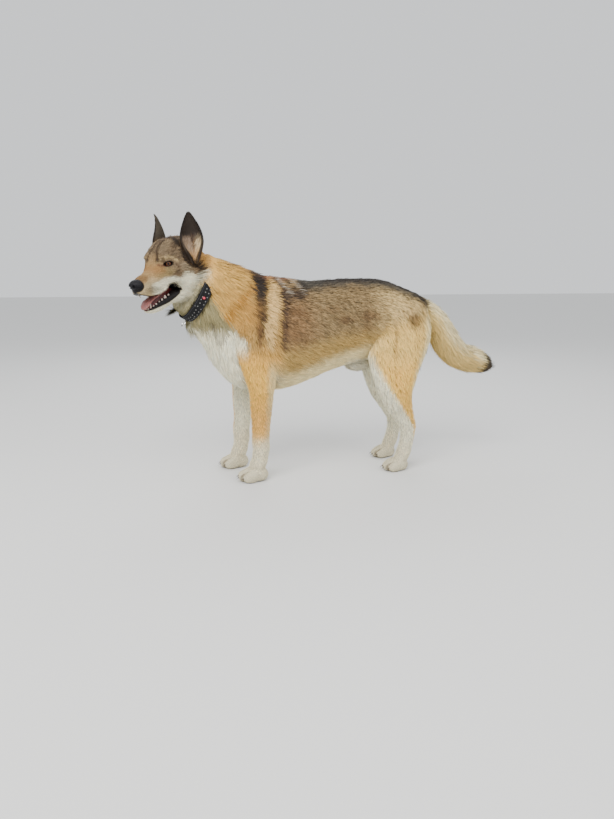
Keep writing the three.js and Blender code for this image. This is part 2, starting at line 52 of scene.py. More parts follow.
EYE_RADIUS = 12.0
HEAD_AXES = np.array(
    [
        [np.cos(HEAD_YAW) * np.cos(HEAD_PITCH), np.sin(HEAD_YAW) * np.cos(HEAD_PITCH), np.sin(HEAD_PITCH)],
        [-np.sin(HEAD_YAW), np.cos(HEAD_YAW), 0.0],
        [-np.sin(HEAD_PITCH) * np.cos(HEAD_YAW), -np.sin(HEAD_PITCH) * np.sin(HEAD_YAW), np.cos(HEAD_PITCH)],
    ]
)


def from_head(points):
    """Points of the head's frame, in the dog's frame."""
    return NOSE_TIP + np.asarray(points) @ HEAD_AXES


def to_head(points):
    """Points of the dog's frame, in the head's frame."""
    return (np.asarray(points) - NOSE_TIP) @ HEAD_AXES.T


def middle_of(node):
    low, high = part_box(node)
    return np.array((low + high) / 2)


# The left eye's solid is a ball, so the middle of its box ties the dog's frame to the part's.
ORIGIN = middle_of("eye_left") - from_head(EYE_PLACE) / 1000


def to_part(points):
    """Points of the dog's frame, in metres in the part's frame."""
    return np.asarray(points) / 1000 + ORIGIN


# ---- Camera ----
# It stands level with the back, ahead of the left shoulder, and looks a little down.
CAMERA_TURN = np.radians(13)
CAMERA_DIP = np.radians(12.64)
CAMERA_DISTANCE = 2.03
CAMERA_HEIGHT = 0.672
VIEW_HIGH = 819
FOCAL_HIGH = 591  # the focal length, in the same measure as VIEW_HIGH

view_data = bpy.data.cameras.new("view")
view_data.lens = view_data.sensor_width * FOCAL_HIGH / VIEW_HIGH
view_data.clip_start = 0.05
view = bpy.data.objects.new("view", view_data)
bpy.context.scene.collection.objects.link(view)
view.location = (
    ORIGIN[0] - CAMERA_DISTANCE * np.sin(CAMERA_TURN),
    ORIGIN[1] - CAMERA_DISTANCE * np.cos(CAMERA_TURN),
    CAMERA_HEIGHT,
)
view.rotation_euler = (np.pi / 2 - CAMERA_DIP, 0, -CAMERA_TURN)
bpy.context.scene.camera = view


# ---- Skin ----
# One surface of hide from the lips to the tail tip, which lies under the coat by the coat's depth.
# Each limb, the trunk, the head and the ears is a distance, and they are melted into each other.
def curve(*pairs):
    """A line through (place, value) pairs that never overshoots: cubic pieces, read from a fine table."""
    at, value = np.array(pairs, float).T
    run = np.diff(at)
    rise = np.diff(value) / run
    slope = np.concatenate([rise[:1], np.zeros(len(at) - 2), rise[-1:]])
    same_way = rise[:-1] * rise[1:] > 0
    before = 2 * run[1:] + run[:-1]
    after = run[1:] + 2 * run[:-1]
    safe = np.where(np.abs(rise) < 1e-9, 1e-9, rise)
    slope[1:-1] = np.where(same_way, (before + after) / (before / safe[:-1] + after / safe[1:]), 0)
    fine = np.linspace(at[0], at[-1], 1024)
    i = np.clip(np.searchsorted(at, fine) - 1, 0, len(at) - 2)
    t = (fine - at[i]) / run[i]
    back = 1 - t
    table = value[i] * (1 + 2 * t) * back**2 + value[i + 1] * t**2 * (3 - 2 * t)
    table += run[i] * (slope[i] * t * back**2 - slope[i + 1] * t**2 * back)
    table = table.astype(np.float32)

    def line(place):
        step = np.clip((np.asarray(place) - at[0]) * (1023 / (at[-1] - at[0])), 0, 1022.999)
        low = step.astype(np.int32)
        return table[low] + (table[low + 1] - table[low]) * (step - low).astype(np.float32)

    return line


def ramp(value, start, end):
    """0 at start and 1 at end, with a smooth slope between them."""
    t = np.clip((np.asarray(value) - start) / (end - start), 0, 1)
    return t * t * (3 - 2 * t)


def fall(value, start, end):
    """1 at start and 0 at end."""
    return 1 - ramp(value, start, end)


def oval(across, up, wide, high, power):
    """Distance from a rounded-square ring, along the ray from its middle: less than 0 inside."""
    reach = np.hypot(across, up)
    size = (np.abs(across / wide) ** power + np.abs(up / high) ** power) ** (1 / power)
    return reach - np.where(size > 1e-3, reach / np.maximum(size, 1e-3), np.minimum(wide, high))


def ball(points, middle, radii, turn=0.0):
    """Distance from an ellipsoid, along the ray from its middle. turn is about +Z."""
    away = points - np.asarray(middle, np.float32)
    if turn:
        c, s = np.float32(np.cos(turn)), np.float32(np.sin(turn))
        away = np.stack([away[:, 0] * c + away[:, 1] * s, away[:, 1] * c - away[:, 0] * s, away[:, 2]], 1)
    reach = np.sqrt((away * away).sum(1))
    size = np.sqrt(((away / np.asarray(radii, np.float32)) ** 2).sum(1))
    return reach - np.where(size > 1e-3, reach / np.maximum(size, 1e-3), min(radii))


def melt(a, b, soft):
    """Two distances as one body, with a fillet of about soft between them."""
    near = np.maximum(soft - np.abs(a - b), 0) / soft
    return np.minimum(a, b) - near * near * (soft / 4)


def carve(a, b, soft):
    """The first body without the second, with the edge rounded."""
    return -melt(-a, b, soft)


FAR = 70.0


def within(points, low, high, shape):
    """A shape's distance at the points inside a box, and FAR everywhere else."""
    inside = np.all((points > np.float32(low)) & (points < np.float32(high)), axis=1)
    out = np.full(len(points), np.float32(FAR))
    out[inside] = shape(points[inside])
    return out


# Trunk and neck: the top, the underline, the half width, and how far the neck bends to the left.
back_line = curve(
    (-430, 735), (-380, 752), (-335, 747), (-290, 731), (-248, 716), (-207, 697), (-165, 680), (-114, 674),
    (-60, 668), (0, 661), (70, 664), (150, 668), (225, 668), (270, 661), (320, 644), (370, 624), (405, 607),
    (428, 580),
)
under_line = curve(
    (-430, 560), (-411, 527), (-374, 492), (-342, 458), (-317, 424), (-297, 378), (-276, 345), (-238, 316),
    (-180, 300), (-119, 295), (-65, 304), (0, 326), (60, 350), (136, 372), (200, 384), (270, 402),
    (330, 422), (380, 448), (410, 480), (428, 520),
)
half_width = curve(
    (-430, 60), (-390, 78), (-350, 90), (-310, 97), (-270, 104), (-230, 114), (-180, 125), (-110, 131),
    (-30, 134), (50, 130), (120, 118), (180, 108), (240, 106), (300, 108), (350, 100), (390, 82),
    (415, 62), (428, 38),
)
neck_lean = curve((-430, 0.42), (-350, 0.3), (-260, 0.14), (-160, 0))
neck_swing = curve((-430, 16), (-390, 11), (-340, 3), (-290, 0))
widest_share = curve((-430, 0.5), (-330, 0.5), (-220, 0.46), (-60, 0.48), (120, 0.52), (428, 0.56))
trunk_coat = curve((-430, 10), (-390, 18), (-330, 25), (-260, 24), (-170, 17), (0, 13), (200, 12), (428, 17))


def trunk_place(points):
    """Where along the trunk a point lies, how far across and how far up its slice, and the slice's reach."""
    x, y, z = points.T
    along = x
    for _ in range(3):
        along = x + (y - neck_swing(along)) * neck_lean(along)
    across = y - neck_swing(along)
    top, under = back_line(along), under_line(along)
    middle = under + (top - under) * widest_share(along)
    reach = np.where(z > middle, top - middle, middle - under)
    return along, across, (z - middle) / reach, reach


def trunk(points):
    """Upright rounded-square slices from the rump to the throat."""
    along, across, share, reach = trunk_place(points)
    coat = trunk_coat(along)
    body = oval(across, share * reach, half_width(along) - coat, reach - coat, 2.14)
    ends = np.maximum(-425 - along, along - 408)
    return -melt(-body, -ends, 24)


# Legs: oval slices up a bent path, as (x, y, z, fore-and-aft radius, sideways radius).
FORE_STRIDE = 46  # how far the right forepaw stands ahead of the left one
HIND_STRIDE = -15


def foreleg_slices(ahead):
    return [
        (-172, 78, 560, 52, 34), (-180, 82, 510, 76, 46), (-184, 86, 455, 78, 50),
        (-181 - 0.35 * ahead, 88, 400, 62, 46), (-177 - 0.6 * ahead, 88, 350, 50, 41),
        (-175 - 0.8 * ahead, 87, 300, 40, 36), (-176 - 0.88 * ahead, 85, 240, 35.5, 31),
        (-177 - 0.9 * ahead, 83, 180, 31, 29), (-178 - ahead, 82, 135, 30, 30.5),
        (-177 - ahead, 82, 110, 29.5, 31), (-181 - ahead, 82, 80, 27, 29),
        (-190 - ahead, 82, 50, 30, 32), (-197 - ahead, 82, 24, 33, 32),
    ]


def hindleg_slices(ahead):
    return [
        (318, 62, 610, 46, 28), (322, 68, 570, 74, 42), (318, 72, 515, 95, 50),
        (304 - 0.3 * ahead, 76, 455, 106, 52), (293 - 0.9 * ahead, 82, 400, 98, 51),
        (289 - 1.2 * ahead, 87, 350, 82, 48), (290 - 1.2 * ahead, 89, 305, 67, 42),
        (300 - ahead, 88, 255, 52, 35), (317 - ahead, 86, 215, 41, 29), (334 - ahead, 85, 180, 34, 26),
        (345 - ahead, 84, 150, 30, 26), (344 - ahead, 84, 120, 26, 25), (338 - ahead, 84, 85, 25, 26),
        (327 - ahead, 84, 50, 27, 29), (316 - ahead, 84, 24, 30, 30),
    ]


foreleg_coat = curve((0, 2), (80, 3), (150, 4), (300, 6), (400, 10), (560, 15))
hindleg_coat = curve((0, 2), (80, 3), (150, 5), (215, 7), (300, 10), (400, 13), (600, 14))


def leg_lines(slices):
    rising = slices[::-1]
    return [curve(*[(s[2], s[i]) for s in rising]) for i in (0, 1, 3, 4)]


LEGS = {
    "foreleg_left": (-1, leg_lines(foreleg_slices(0)), foreleg_coat, 560),
    "foreleg_right": (1, leg_lines(foreleg_slices(FORE_STRIDE)), foreleg_coat, 560),
    "hindleg_left": (-1, leg_lines(hindleg_slices(0)), hindleg_coat, 610),
    "hindleg_right": (1, leg_lines(hindleg_slices(HIND_STRIDE)), hindleg_coat, 610),
}


def leg(points, name):
    """Flat oval slices at each height, widened where the leg slopes."""
    side, (line_x, line_y, along, across), coat, top = LEGS[name]
    x, y, z = points.T
    slope = (line_x(z + 6) - line_x(z - 6)) / 12
    steep = np.sqrt(1 + slope * slope)
    deep = coat(z)
    foot = 0.68 + 0.32 * ramp(z, 12, 66)  # the pastern narrows into the paw
    wide, high = along(z) * steep * foot - deep, across(z) * foot - deep
    body = oval(x - line_x(z), side * y - line_y(z), wide, high, 2)
    ends = np.maximum(z - top, 20 - z)
    return -melt(-body / steep, -ends, 16)


# Paws: a heel, four toes with knuckles, and pads under them. Each is (length, width, height, x, side).
PAW_OUT = 83
PAWS = {
    "forepaw_left": (108, 74, 46, -186, -1),
    "forepaw_right": (108, 74, 46, -186 - FORE_STRIDE, 1),
    "hindpaw_left": (98, 66, 42, 322, -1),
    "hindpaw_right": (98, 66, 42, 322 - HIND_STRIDE, 1),
}
TOE_SPREADS = np.array([-1.0, -1 / 3, 1 / 3, 1.0])


def toe_place(name, spread):
    """The middle of a toe. The two middle toes reach further than the outer two."""
    long, wide, high, x, side = PAWS[name]
    reach = 0.42 if abs(spread) < 0.5 else 0.29
    return np.array([x - long * reach, side * PAW_OUT + spread * wide * 0.36, high * 0.37])


def paw(points, name):
    long, wide, high, x, side = PAWS[name]
    body = ball(points, (x - 6, side * PAW_OUT, high * 0.46), (long * 0.34, wide * 0.42, high * 0.57))
    for spread in TOE_SPREADS:
        toe = toe_place(name, spread)
        knuckle = toe + (long * 0.1, 0, high * 0.16)
        toes = ball(points, toe, (long * 0.22, wide * 0.162, high * 0.41), spread * -0.16)
        toes = melt(toes, ball(points, knuckle, (long * 0.17, wide * 0.14, high * 0.4)), 4)
        body = melt(body, toes, 3)
    return carve(body, points[:, 2] - 0.4, 2)  # flat where it stands


# Tail: round slices along a line that hangs from the croup and lifts behind.
TAIL_KNOTS = np.array(
    [
        (372, 0, 590), (424, 0, 566), (476, 2, 513), (517, 6, 446), (564, 12, 399), (623, 18, 376),
        (700, 22, 350),
    ],
    float,
)
tail_thickness = curve(
    (0, 22), (0.12, 36), (0.28, 48), (0.45, 54), (0.62, 54), (0.76, 51), (0.87, 42), (0.95, 26), (1, 5)
)
TAIL_FLESH = 0.4  # the tail without its hair, as a share of its thickness
TAIL_STEPS = 60


def smooth_path(knots, count):
    """Points at equal steps on a Catmull-Rom line through the knots."""
    ends = np.vstack([2 * knots[0] - knots[1], knots, 2 * knots[-1] - knots[-2]])
    t = np.linspace(0, 1, 40, endpoint=False)[:, None]
    pieces = []
    for a, b, c, d in zip(ends, ends[1:], ends[2:], ends[3:]):
        bend = 2 * b + (c - a) * t + (2 * a - 5 * b + 4 * c - d) * t**2 + (3 * b - a - 3 * c + d) * t**3
        pieces.append(bend / 2)
    fine = np.vstack(pieces + [knots[-1:]])
    length = np.concatenate([[0], np.cumsum(norm(np.diff(fine, axis=0), axis=1))])
    at = np.linspace(0, length[-1], count)
    return np.stack([np.interp(at, length, fine[:, i]) for i in range(3)], 1)


TAIL_PATH = smooth_path(TAIL_KNOTS, TAIL_STEPS)
TAIL_SHARES = np.linspace(0, 1, TAIL_STEPS)
TAIL_TANGENTS = np.gradient(TAIL_PATH, axis=0)
TAIL_TANGENTS /= norm(TAIL_TANGENTS, axis=1)[:, None]


def tail_place(points):
    """The nearest share of the tail's line, and how far from the line a point is."""
    nearest = np.full(len(points), 1e6, np.float32)
    share = np.zeros(len(points), np.float32)
    for place, at in zip(TAIL_PATH.astype(np.float32), TAIL_SHARES):
        gap = points - place
        away = np.sqrt((gap * gap).sum(1)) - tail_thickness(at) * TAIL_FLESH
        closer = away < nearest
        nearest[closer] = away[closer]
        share[closer] = at
    return share, nearest


# Head: slices across the skull, with brows, cheek bones and lips added and the eyes' sockets cut.
crown = curve(
    (6, 8), (14, 14), (30, 19), (45, 23), (65, 27), (82, 35), (92, 44), (101, 58), (112, 76), (126, 92),
    (143, 103), (168, 111), (200, 113), (228, 108), (250, 96), (268, 78),
)
lip_line = curve(
    (6, -18), (14, -26), (25, -32), (45, -39), (70, -40), (98, -32), (116, -25), (140, -25), (152, -36),
    (162, -62), (178, -82), (205, -97), (235, -102), (268, -90),
)
head_width = curve(
    (6, 11), (14, 17), (24, 22), (40, 29), (65, 33), (84, 37), (98, 44), (112, 51), (128, 58), (146, 67),
    (168, 78), (190, 85), (214, 88), (240, 85), (268, 70),
)
head_widest = curve((6, -4), (60, -10), (100, 2), (130, 16), (170, 8), (268, 0))
head_round = curve((6, 1), (60, 0.8), (100, 0.78), (140, 0.84), (200, 0.92), (268, 1))
head_coat = curve((0, 1.2), (60, 1.6), (100, 3), (130, 5), (165, 9), (200, 14), (268, 16))
jaw_under = curve((34, -84), (42, -91), (58, -95), (80, -94), (100, -89), (130, -83), (200, -88))
jaw_upper = curve(
    (34, -78), (41, -74), (52, -70), (68, -61), (88, -54), (112, -46), (134, -37), (200, -30)
)
jaw_width = curve((34, 10), (41, 17), (56, 23), (85, 30), (115, 40), (150, 55), (200, 60))
lip_out = curve((10, 10), (20, 16), (34, 22), (50, 25), (70, 28), (90, 32), (105, 38), (120, 44), (150, 52))
LIP_PLACES = np.array([18, 30, 48, 68, 86, 102], float)
LIP_KNOTS = np.stack([LIP_PLACES, -lip_out(LIP_PLACES), lip_line(LIP_PLACES) + 3.5], 1)
FURROW_KNOTS = np.array([(92, 0, 53), (108, 0, 78), (128, 0, 101), (152, 0, 114)], float)
EYE_LOOK = np.array([-0.66, -0.74, 0.12])  # the way that the left eye faces
EYE_LOOK /= norm(EYE_LOOK)
EYE_SLANT = 0.1  # how far the outer corner rises over the inner one, as a share of the way across
EYE_OUT = np.cross(EYE_LOOK, (0.0, 0.0, 1.0))
EYE_OUT /= -norm(EYE_OUT)
EYE_OUT = EYE_OUT + EYE_SLANT * np.array([0, 0, 1.0])
EYE_OUT -= EYE_OUT @ EYE_LOOK * EYE_LOOK
EYE_OUT /= norm(EYE_OUT)  # from the inner corner to the outer corner
EYE_UP = np.cross(EYE_OUT, EYE_LOOK)
EYE_UP *= np.sign(EYE_UP[2])


def chain(points, knots, radius):
    """Distance from a rounded rope through the knots."""
    body = np.full(len(points), 1e6, np.float32)
    for place in smooth_path(knots, 22).astype(np.float32):
        gap = points - place
        body = np.minimum(body, np.sqrt((gap * gap).sum(1)) - radius)
    return body


def eye_view(head):
    """How far a point is from the eye's middle: to the outer corner, up, and out along the look."""
    away = head - EYE_PLACE.astype(np.float32)
    return [away @ axis.astype(np.float32) for axis in (EYE_OUT, EYE_UP, EYE_LOOK)]


def lid_gap(head):
    """Less than 0 between the lids: an almond, taller towards the inner corner."""
    out, up, ahead = eye_view(head)
    open_up = 5.6 * np.sqrt(np.clip(1 - ((out + 1.2) / 14.5) ** 2, 0, 1)) + 0.02
    open_down = 5.0 * np.sqrt(np.clip(1 - ((out - 0.5) / 14.5) ** 2, 0, 1)) + 0.02
    tall = np.where(up > 0, open_up, open_down)
    return np.maximum(np.abs(up) - tall, -ahead)


def upper_head(head):
    x, y, z = head.T
    wide = np.abs(y)
    near = np.stack([x, -wide, z], 1)  # both halves are alike, so the left one does for both
    middle = head_widest(x)
    coat = head_coat(x)
    reach = np.where(z > middle, crown(x) - middle - coat, middle - lip_line(x) - coat * 0.7)
    boxy = 1 + 0.7 * (z < middle) * ramp(190 - x, 0, 50)  # the muzzle's sides drop straight to the lip
    body = oval(wide, z - middle, head_width(x) - coat, reach, 2 / head_round(x) * boxy)
    body = -melt(-body, -np.maximum(5 - x, x - 262), 8)
    body = melt(body, ball(near, (133, -34, 62), (20, 11, 8), 0.5), 12)  # brow
    body = melt(body, ball(near, (146, -56, 16), (28, 8, 9), -0.5), 16)  # cheek bone
    body = carve(body, ball(near, (114, -58, 38), (20, 17, 12), 0.75), 10)  # socket
    body = carve(body, chain(near, FURROW_KNOTS, 5), 10)  # furrow between the brows
    body = melt(body, ball(near, (42, -20, -19), (22, 9, 12), 0.15), 8)  # whisker pad
    return body, near


def mouth_hollow(head):
    """The space between the palate and the floor of the mouth."""
    x, y, z = head.T
    high = lip_line(x) + 3 + 6 * ramp(x, 18, 42)
    low = jaw_upper(x) - 5
    middle = (high + low) / 2
    wide = np.minimum(lip_out(x) - 4.5, jaw_width(x) - 2.5)
    wide = np.maximum(wide * ramp(150 - x, -2, 14), 1.0)
    body = oval(y, z - middle, wide, (high - low) / 2, 2.6)
    return np.maximum(body, np.maximum(x - 148, 16 - x))


def head_shape(head):
    body, near = upper_head(head)
    x, y, z = head.T
    body = melt(body, chain(near, LIP_KNOTS, 3.4), 5)
    jaw_middle = (jaw_under(x) + jaw_upper(x)) / 2
    jaw_coat = 1 + 5 * ramp(x, 90, 190)
    jaw = oval(y, z - jaw_middle, jaw_width(x) - jaw_coat, (jaw_upper(x) - jaw_under(x)) / 2 - jaw_coat, 2.5)
    jaw = -melt(-jaw, -np.maximum(34 - x, x - 196), 5)
    body = melt(body, jaw, 7)
    body = carve(body, mouth_hollow(head), 4)
    lids = ball(near, EYE_PLACE, (13.9, 13.9, 13.9))
    body = melt(body, lids, 7)
    body = carve(body, np.maximum(lid_gap(near), ball(near, EYE_PLACE, (22, 22, 22))), 1.2)
    body = carve(body, ball(near, EYE_PLACE, (11.7, 11.7, 11.7)), 1)
    return body


# Ears: upright cups, open to the front and outwards.
EAR_HEIGHT = 125
EAR_DEPTH = 34  # how far the ear goes down into the head
EAR_FOOT = np.array([200.0, -83.0, 55.0])
EAR_UP = np.array([0.16, 0.07, 0.98]) / norm([0.16, 0.07, 0.98])
EAR_BACK = np.array([0.72, 0.69, 0.0])
EAR_BACK = EAR_BACK - EAR_BACK @ EAR_UP * EAR_UP
EAR_BACK /= norm(EAR_BACK)
EAR_SIDE = np.cross(EAR_UP, EAR_BACK)
ear_radius = curve(
    (-0.3, 12), (-0.12, 19), (0, 25), (0.14, 31), (0.3, 36), (0.45, 35), (0.65, 28.5), (0.8, 20.5),
    (0.92, 13), (1, 6),
)
ear_wrap = curve((-0.3, 150), (-0.1, 126), (0.08, 110), (0.4, 99), (0.75, 80), (1, 68))
ear_wall = curve((0, 9), (0.5, 5), (1, 3.4))


def left_half(head):
    """Both halves of the head are alike, so a point of the right half is taken across to the left."""
    return np.stack([head[:, 0], -np.abs(head[:, 1]), head[:, 2]], 1).astype(np.float32)


def ear_place(near):
    """Height share, angle from the middle of the back, distance from the ear's line, and height."""
    away = near - EAR_FOOT.astype(np.float32)
    a, b, h = (away @ axis.astype(np.float32) for axis in (EAR_BACK, EAR_SIDE, EAR_UP))
    return h / EAR_HEIGHT, np.arctan2(b, a), np.hypot(a, b), h


def ear_cup(share, reach):
    """Whether a point is on the hollow side of the ear's wall."""
    return reach < ear_radius(share) - ear_wall(share) * 0.6


def ear(near):
    share, angle, reach, height = ear_place(near)
    wall = ear_wall(share)
    shell = np.abs(reach - ear_radius(share) + 1 + wall / 2) - wall / 2
    edge = (np.abs(angle) - np.radians(ear_wrap(share))) * reach
    return -melt(-np.maximum(shell, edge + 0.5), -np.maximum(height - EAR_HEIGHT, -EAR_DEPTH - height), 3)


SHEATH = ((180, 0, 380), (46, 18, 22))


def shapes(points):
    """The distance from each part of the hide, by name."""
    points = np.asarray(points, np.float32)
    found = {"trunk": within(points, (-530, -175, 230), (470, 175, 790), trunk)}
    found["sheath"] = within(points, (90, -60, 310), (270, 60, 440), lambda p: ball(p, *SHEATH))
    for name, (side, _, _, top) in LEGS.items():
        ahead = "fore" in name
        low = (-310 if ahead else 140, -170 if side < 0 else 0, -20)
        high = (-60 if ahead else 460, 0 if side < 0 else 170, top + 30)
        found[name] = within(points, low, high, lambda p, n=name: leg(p, n))
    for name, (long, wide, _, x, side) in PAWS.items():
        low = (x - long, side * PAW_OUT - wide, -30)
        high = (x + long, side * PAW_OUT + wide, 90)
        found[name] = within(points, low, high, lambda p, n=name: paw(p, n))
    found["tail"] = within(points, (330, -60, 270), (760, 80, 660), lambda p: tail_place(p)[1])
    found["head"] = within(points, (-660, -260, 480), (-330, 130, 800), lambda p: head_shape(to_head(p)))
    found["ears"] = within(points, (-560, -220, 620), (-330, 150, 900), lambda p: ear(left_half(to_head(p))))
    return found


# The strap's ring: its middle, its two long directions, and the direction it faces along the neck.
COLLAR_MIDDLE = np.array([-362.0, -6.0, 629.0])
COLLAR_YAW = np.radians(16)
COLLAR_SIDE = np.array([-np.sin(COLLAR_YAW), np.cos(COLLAR_YAW), 0.0])
COLLAR_UP = np.array([0.433, 0.124, 0.893])
COLLAR_UP -= COLLAR_UP @ COLLAR_SIDE * COLLAR_SIDE
COLLAR_UP /= norm(COLLAR_UP)
COLLAR_FACE = np.cross(COLLAR_UP, COLLAR_SIDE)
COLLAR_HIGH = 101.0
COLLAR_WIDE = 82.0
STRAP_WIDE = 34.0
STRAP_THICK = 4.0
HIDDEN_ABOVE = 22.0  # over this height on the ring, the mane lies over the strap


def strap_groove(points):
    """The space that the strap presses out of the neck, less than 0 inside it."""
    away = points - COLLAR_MIDDLE
    up, side, ahead = away @ COLLAR_UP, away @ COLLAR_SIDE, np.abs(away @ COLLAR_FACE)
    ring = np.hypot(up / (COLLAR_HIGH - 7), side / (COLLAR_WIDE - 7))
    return np.maximum((1 - ring) * (COLLAR_WIDE - 7), ahead - STRAP_WIDE / 2 - 2)


def hide(points):
    """Distance from the whole skin, less than 0 inside it."""
    found = shapes(points)
    body = found["trunk"]
    for names, fillet in ((("sheath", *LEGS), 14), (PAWS, 8), (("tail",), 14), (("head",), 16)):
        for name in names:
            body = melt(body, found[name], fillet)
    by_strap = norm(points - COLLAR_MIDDLE, axis=1) < 140
    body[by_strap] = carve(body[by_strap], strap_groove(points[by_strap]), 6)
    return melt(body, found["ears"], 9)


FINE_SHARE = 0.42  # how much finer the skin is worked at the face than at the tail
FINE_REACH = 330
FACE = from_head((110, 0, 0))
CELL = 3.0  # the skin is worked out on a lattice of this cell
BLOCK = 4  # cells to a block, which is passed over if the skin is far from it


def bend(points):
    """The lattice drawn in towards the face, so that its cells are smaller there."""
    away = points - FACE
    far = norm(away, axis=1)[:, None] + 1e-6
    drawn = far - (1 - FINE_SHARE) * FINE_REACH * np.tanh(far / FINE_REACH)
    return (FACE + away * (drawn / far)).astype(np.float32)


def polygonise(field, low, high, cell, bend=lambda points: points):
    """The surface where a field is 0: one point in each cell that it crosses, one face for each edge."""
    low = np.array(low, float)
    blocks = np.ceil((np.array(high) - low) / (cell * BLOCK)).astype(int)
    grid = np.indices(blocks).reshape(3, -1).T
    middle = bend(low + (grid + 0.5) * cell * BLOCK)
    grid = grid[np.abs(field(middle)) < cell * BLOCK * 1.35]
    corner = np.indices((BLOCK + 1,) * 3).reshape(3, -1).T
    lattice = (grid[:, None] * BLOCK + corner[None]).reshape(-1, 3)
    value = field(bend(low + lattice * cell)).reshape(-1, BLOCK + 1, BLOCK + 1, BLOCK + 1)
    shifts = np.indices((2, 2, 2)).reshape(3, -1).T
    cut = [value[:, a : a + BLOCK, b : b + BLOCK, c : c + BLOCK] for a, b, c in shifts]
    inside = sum((v < 0).astype(np.int8) for v in cut)
    block, i, j, k = np.nonzero((inside > 0) & (inside < 8))
    value = np.stack([v[block, i, j, k] for v in cut], 1)
    cells = grid[block] * BLOCK + np.stack([i, j, k], 1)
    size = blocks * BLOCK + 2
    number = (cells[:, 0] * size[1] + cells[:, 1]) * size[2] + cells[:, 2]
    order = np.argsort(number)
    cells, value, number = cells[order], value[order], number[order]
    total = np.zeros((len(cells), 3))
    crossings = np.zeros(len(cells))
    for axis in range(3):
        for start, shift in enumerate(shifts):
            if shift[axis]:
                continue
            end = start + (4, 2, 1)[axis]
            a, b = value[:, start], value[:, end]
            crossed = (a < 0) != (b < 0)
            share = np.where(crossed, a / np.where(crossed, a - b, 1), 0)
            place = np.repeat(shift[None].astype(float), len(cells), 0)
            place[:, axis] += share
            total += place * crossed[:, None]
            crossings += crossed
    points = bend(low + (cells + total / crossings[:, None]) * cell)
    faces = []
    stride = np.array([size[1] * size[2], size[2], 1])
    for axis in range(3):
        a, b = (axis + 1) % 3, (axis + 2) % 3
        start, end = value[:, 0], value[:, (4, 2, 1)[axis]]
        here = np.nonzero((start < 0) != (end < 0))[0]
        ring = [number[here] - stride[a] * m - stride[b] * n for m, n in ((1, 1), (0, 1), (0, 0), (1, 0))]
        found = np.stack([np.clip(np.searchsorted(number, r), 0, len(number) - 1) for r in ring], 1)
        whole = np.all(number[found] == np.stack(ring, 1), axis=1)
        leaves = (start[here] < 0)[:, None]
        faces.append(np.where(leaves, found, found[:, ::-1])[whole])
    return points, np.vstack(faces)


def piece(name, points, faces):
    """A mesh object of equal-sided faces, from points in the dog's frame."""
    mesh = bpy.data.meshes.new(name)
    faces = np.asarray(faces, np.int32)
    mesh.vertices.add(len(points))
    mesh.vertices.foreach_set("co", to_part(points).astype(np.float32).ravel())
    mesh.loops.add(faces.size)
    mesh.loops.foreach_set("vertex_index", faces.ravel())
    mesh.polygons.add(len(faces))
    mesh.polygons.foreach_set("loop_start", np.arange(len(faces), dtype=np.int32) * faces.shape[1])
    mesh.polygons.foreach_set("use_smooth", np.full(len(faces), True))
    mesh.update(calc_edges=True)
    made = bpy.data.objects.new(name, mesh)
    bpy.context.scene.collection.objects.link(made)
    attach(made, "root")
    return made


SKIN_FACES = 185_000

skin_points, skin_faces = polygonise(hide, (-930, -480, -260), (860, 560, 1180), CELL, bend)
skin = piece("skin", skin_points, skin_faces)
thinner = skin.modifiers.new("thinner", "DECIMATE")
thinner.ratio = min(1.0, SKIN_FACES / (2 * len(skin_faces)))
thinned = bpy.data.meshes.new_from_object(skin.evaluated_get(bpy.context.evaluated_depsgraph_get()))
skin.modifiers.clear()
skin.data = thinned


# ---- Markings ----
# One set of formulas colours the hide and every tuft over it: golden neck and legs, a grizzled grey
# saddle, white chest, cheeks and feet, black ear edges, lips and tail tip. Both sides are alike.
def tint(red, green, blue):
    """A screen colour, 0 to 255, as linear values, a little stronger as the view softens colours."""
    share = np.array([red, green, blue]) / 255
    linear = np.where(share <= 0.04045, share / 12.92, ((share + 0.055) / 1.055) ** 2.4)
    grey = linear @ (0.2126, 0.7152, 0.0722)
    return np.clip(grey + (linear - grey) * 1.27, 0.006, 0.93)


GOLD = tint(191, 157, 106)
ORANGE = tint(238, 192, 124)
SHOULDER = tint(170, 141, 99)
RUST_GREY = tint(134, 116, 90)
SADDLE_GREY = tint(68, 66, 62)
UMBER = tint(92, 70, 52)
BLACK = tint(38, 33, 31)
CREAM = tint(230, 214, 174)
WHITE = tint(244, 238, 214)
PALE_GREY = tint(176, 168, 156)
BROW_GREY = tint(132, 115, 95)
SMOKE = tint(80, 73, 64)
EAR_PINK = tint(180, 160, 142)
LIP_BLACK = tint(20, 16, 17)
MOUTH_RED = tint(120, 52, 54)


def plain(tone, points):
    """One tone at all the points."""
    return np.repeat(tone[None], len(points), 0)


def paint(colour, share, tone):
    """Lays a tone over the colours, in place, by its share at each point."""
    colour += (tone - colour) * np.clip(share, 0, 1)[:, None]


def patch(across, up, wide, high, soft=0.35):
    """1 inside an oval and 0 outside it, with a soft edge."""
    return fall(np.hypot(across / wide, up / high), 1 - soft, 1 + soft)


def stroke(points_2d, knots, wide, soft=0.5):
    """1 on a line through the knots and 0 off it. The knots are (x, y) pairs."""
    nearest = np.full(len(points_2d), 1e6)
    for a, b in zip(np.array(knots[:-1], float), np.array(knots[1:], float)):
        along = np.clip(((points_2d - a) @ (b - a)) / ((b - a) @ (b - a)), 0, 1)
        nearest = np.minimum(nearest, norm(points_2d - a - along[:, None] * (b - a), axis=1))
    return fall(nearest, wide * (1 - soft), wide * (1 + soft))


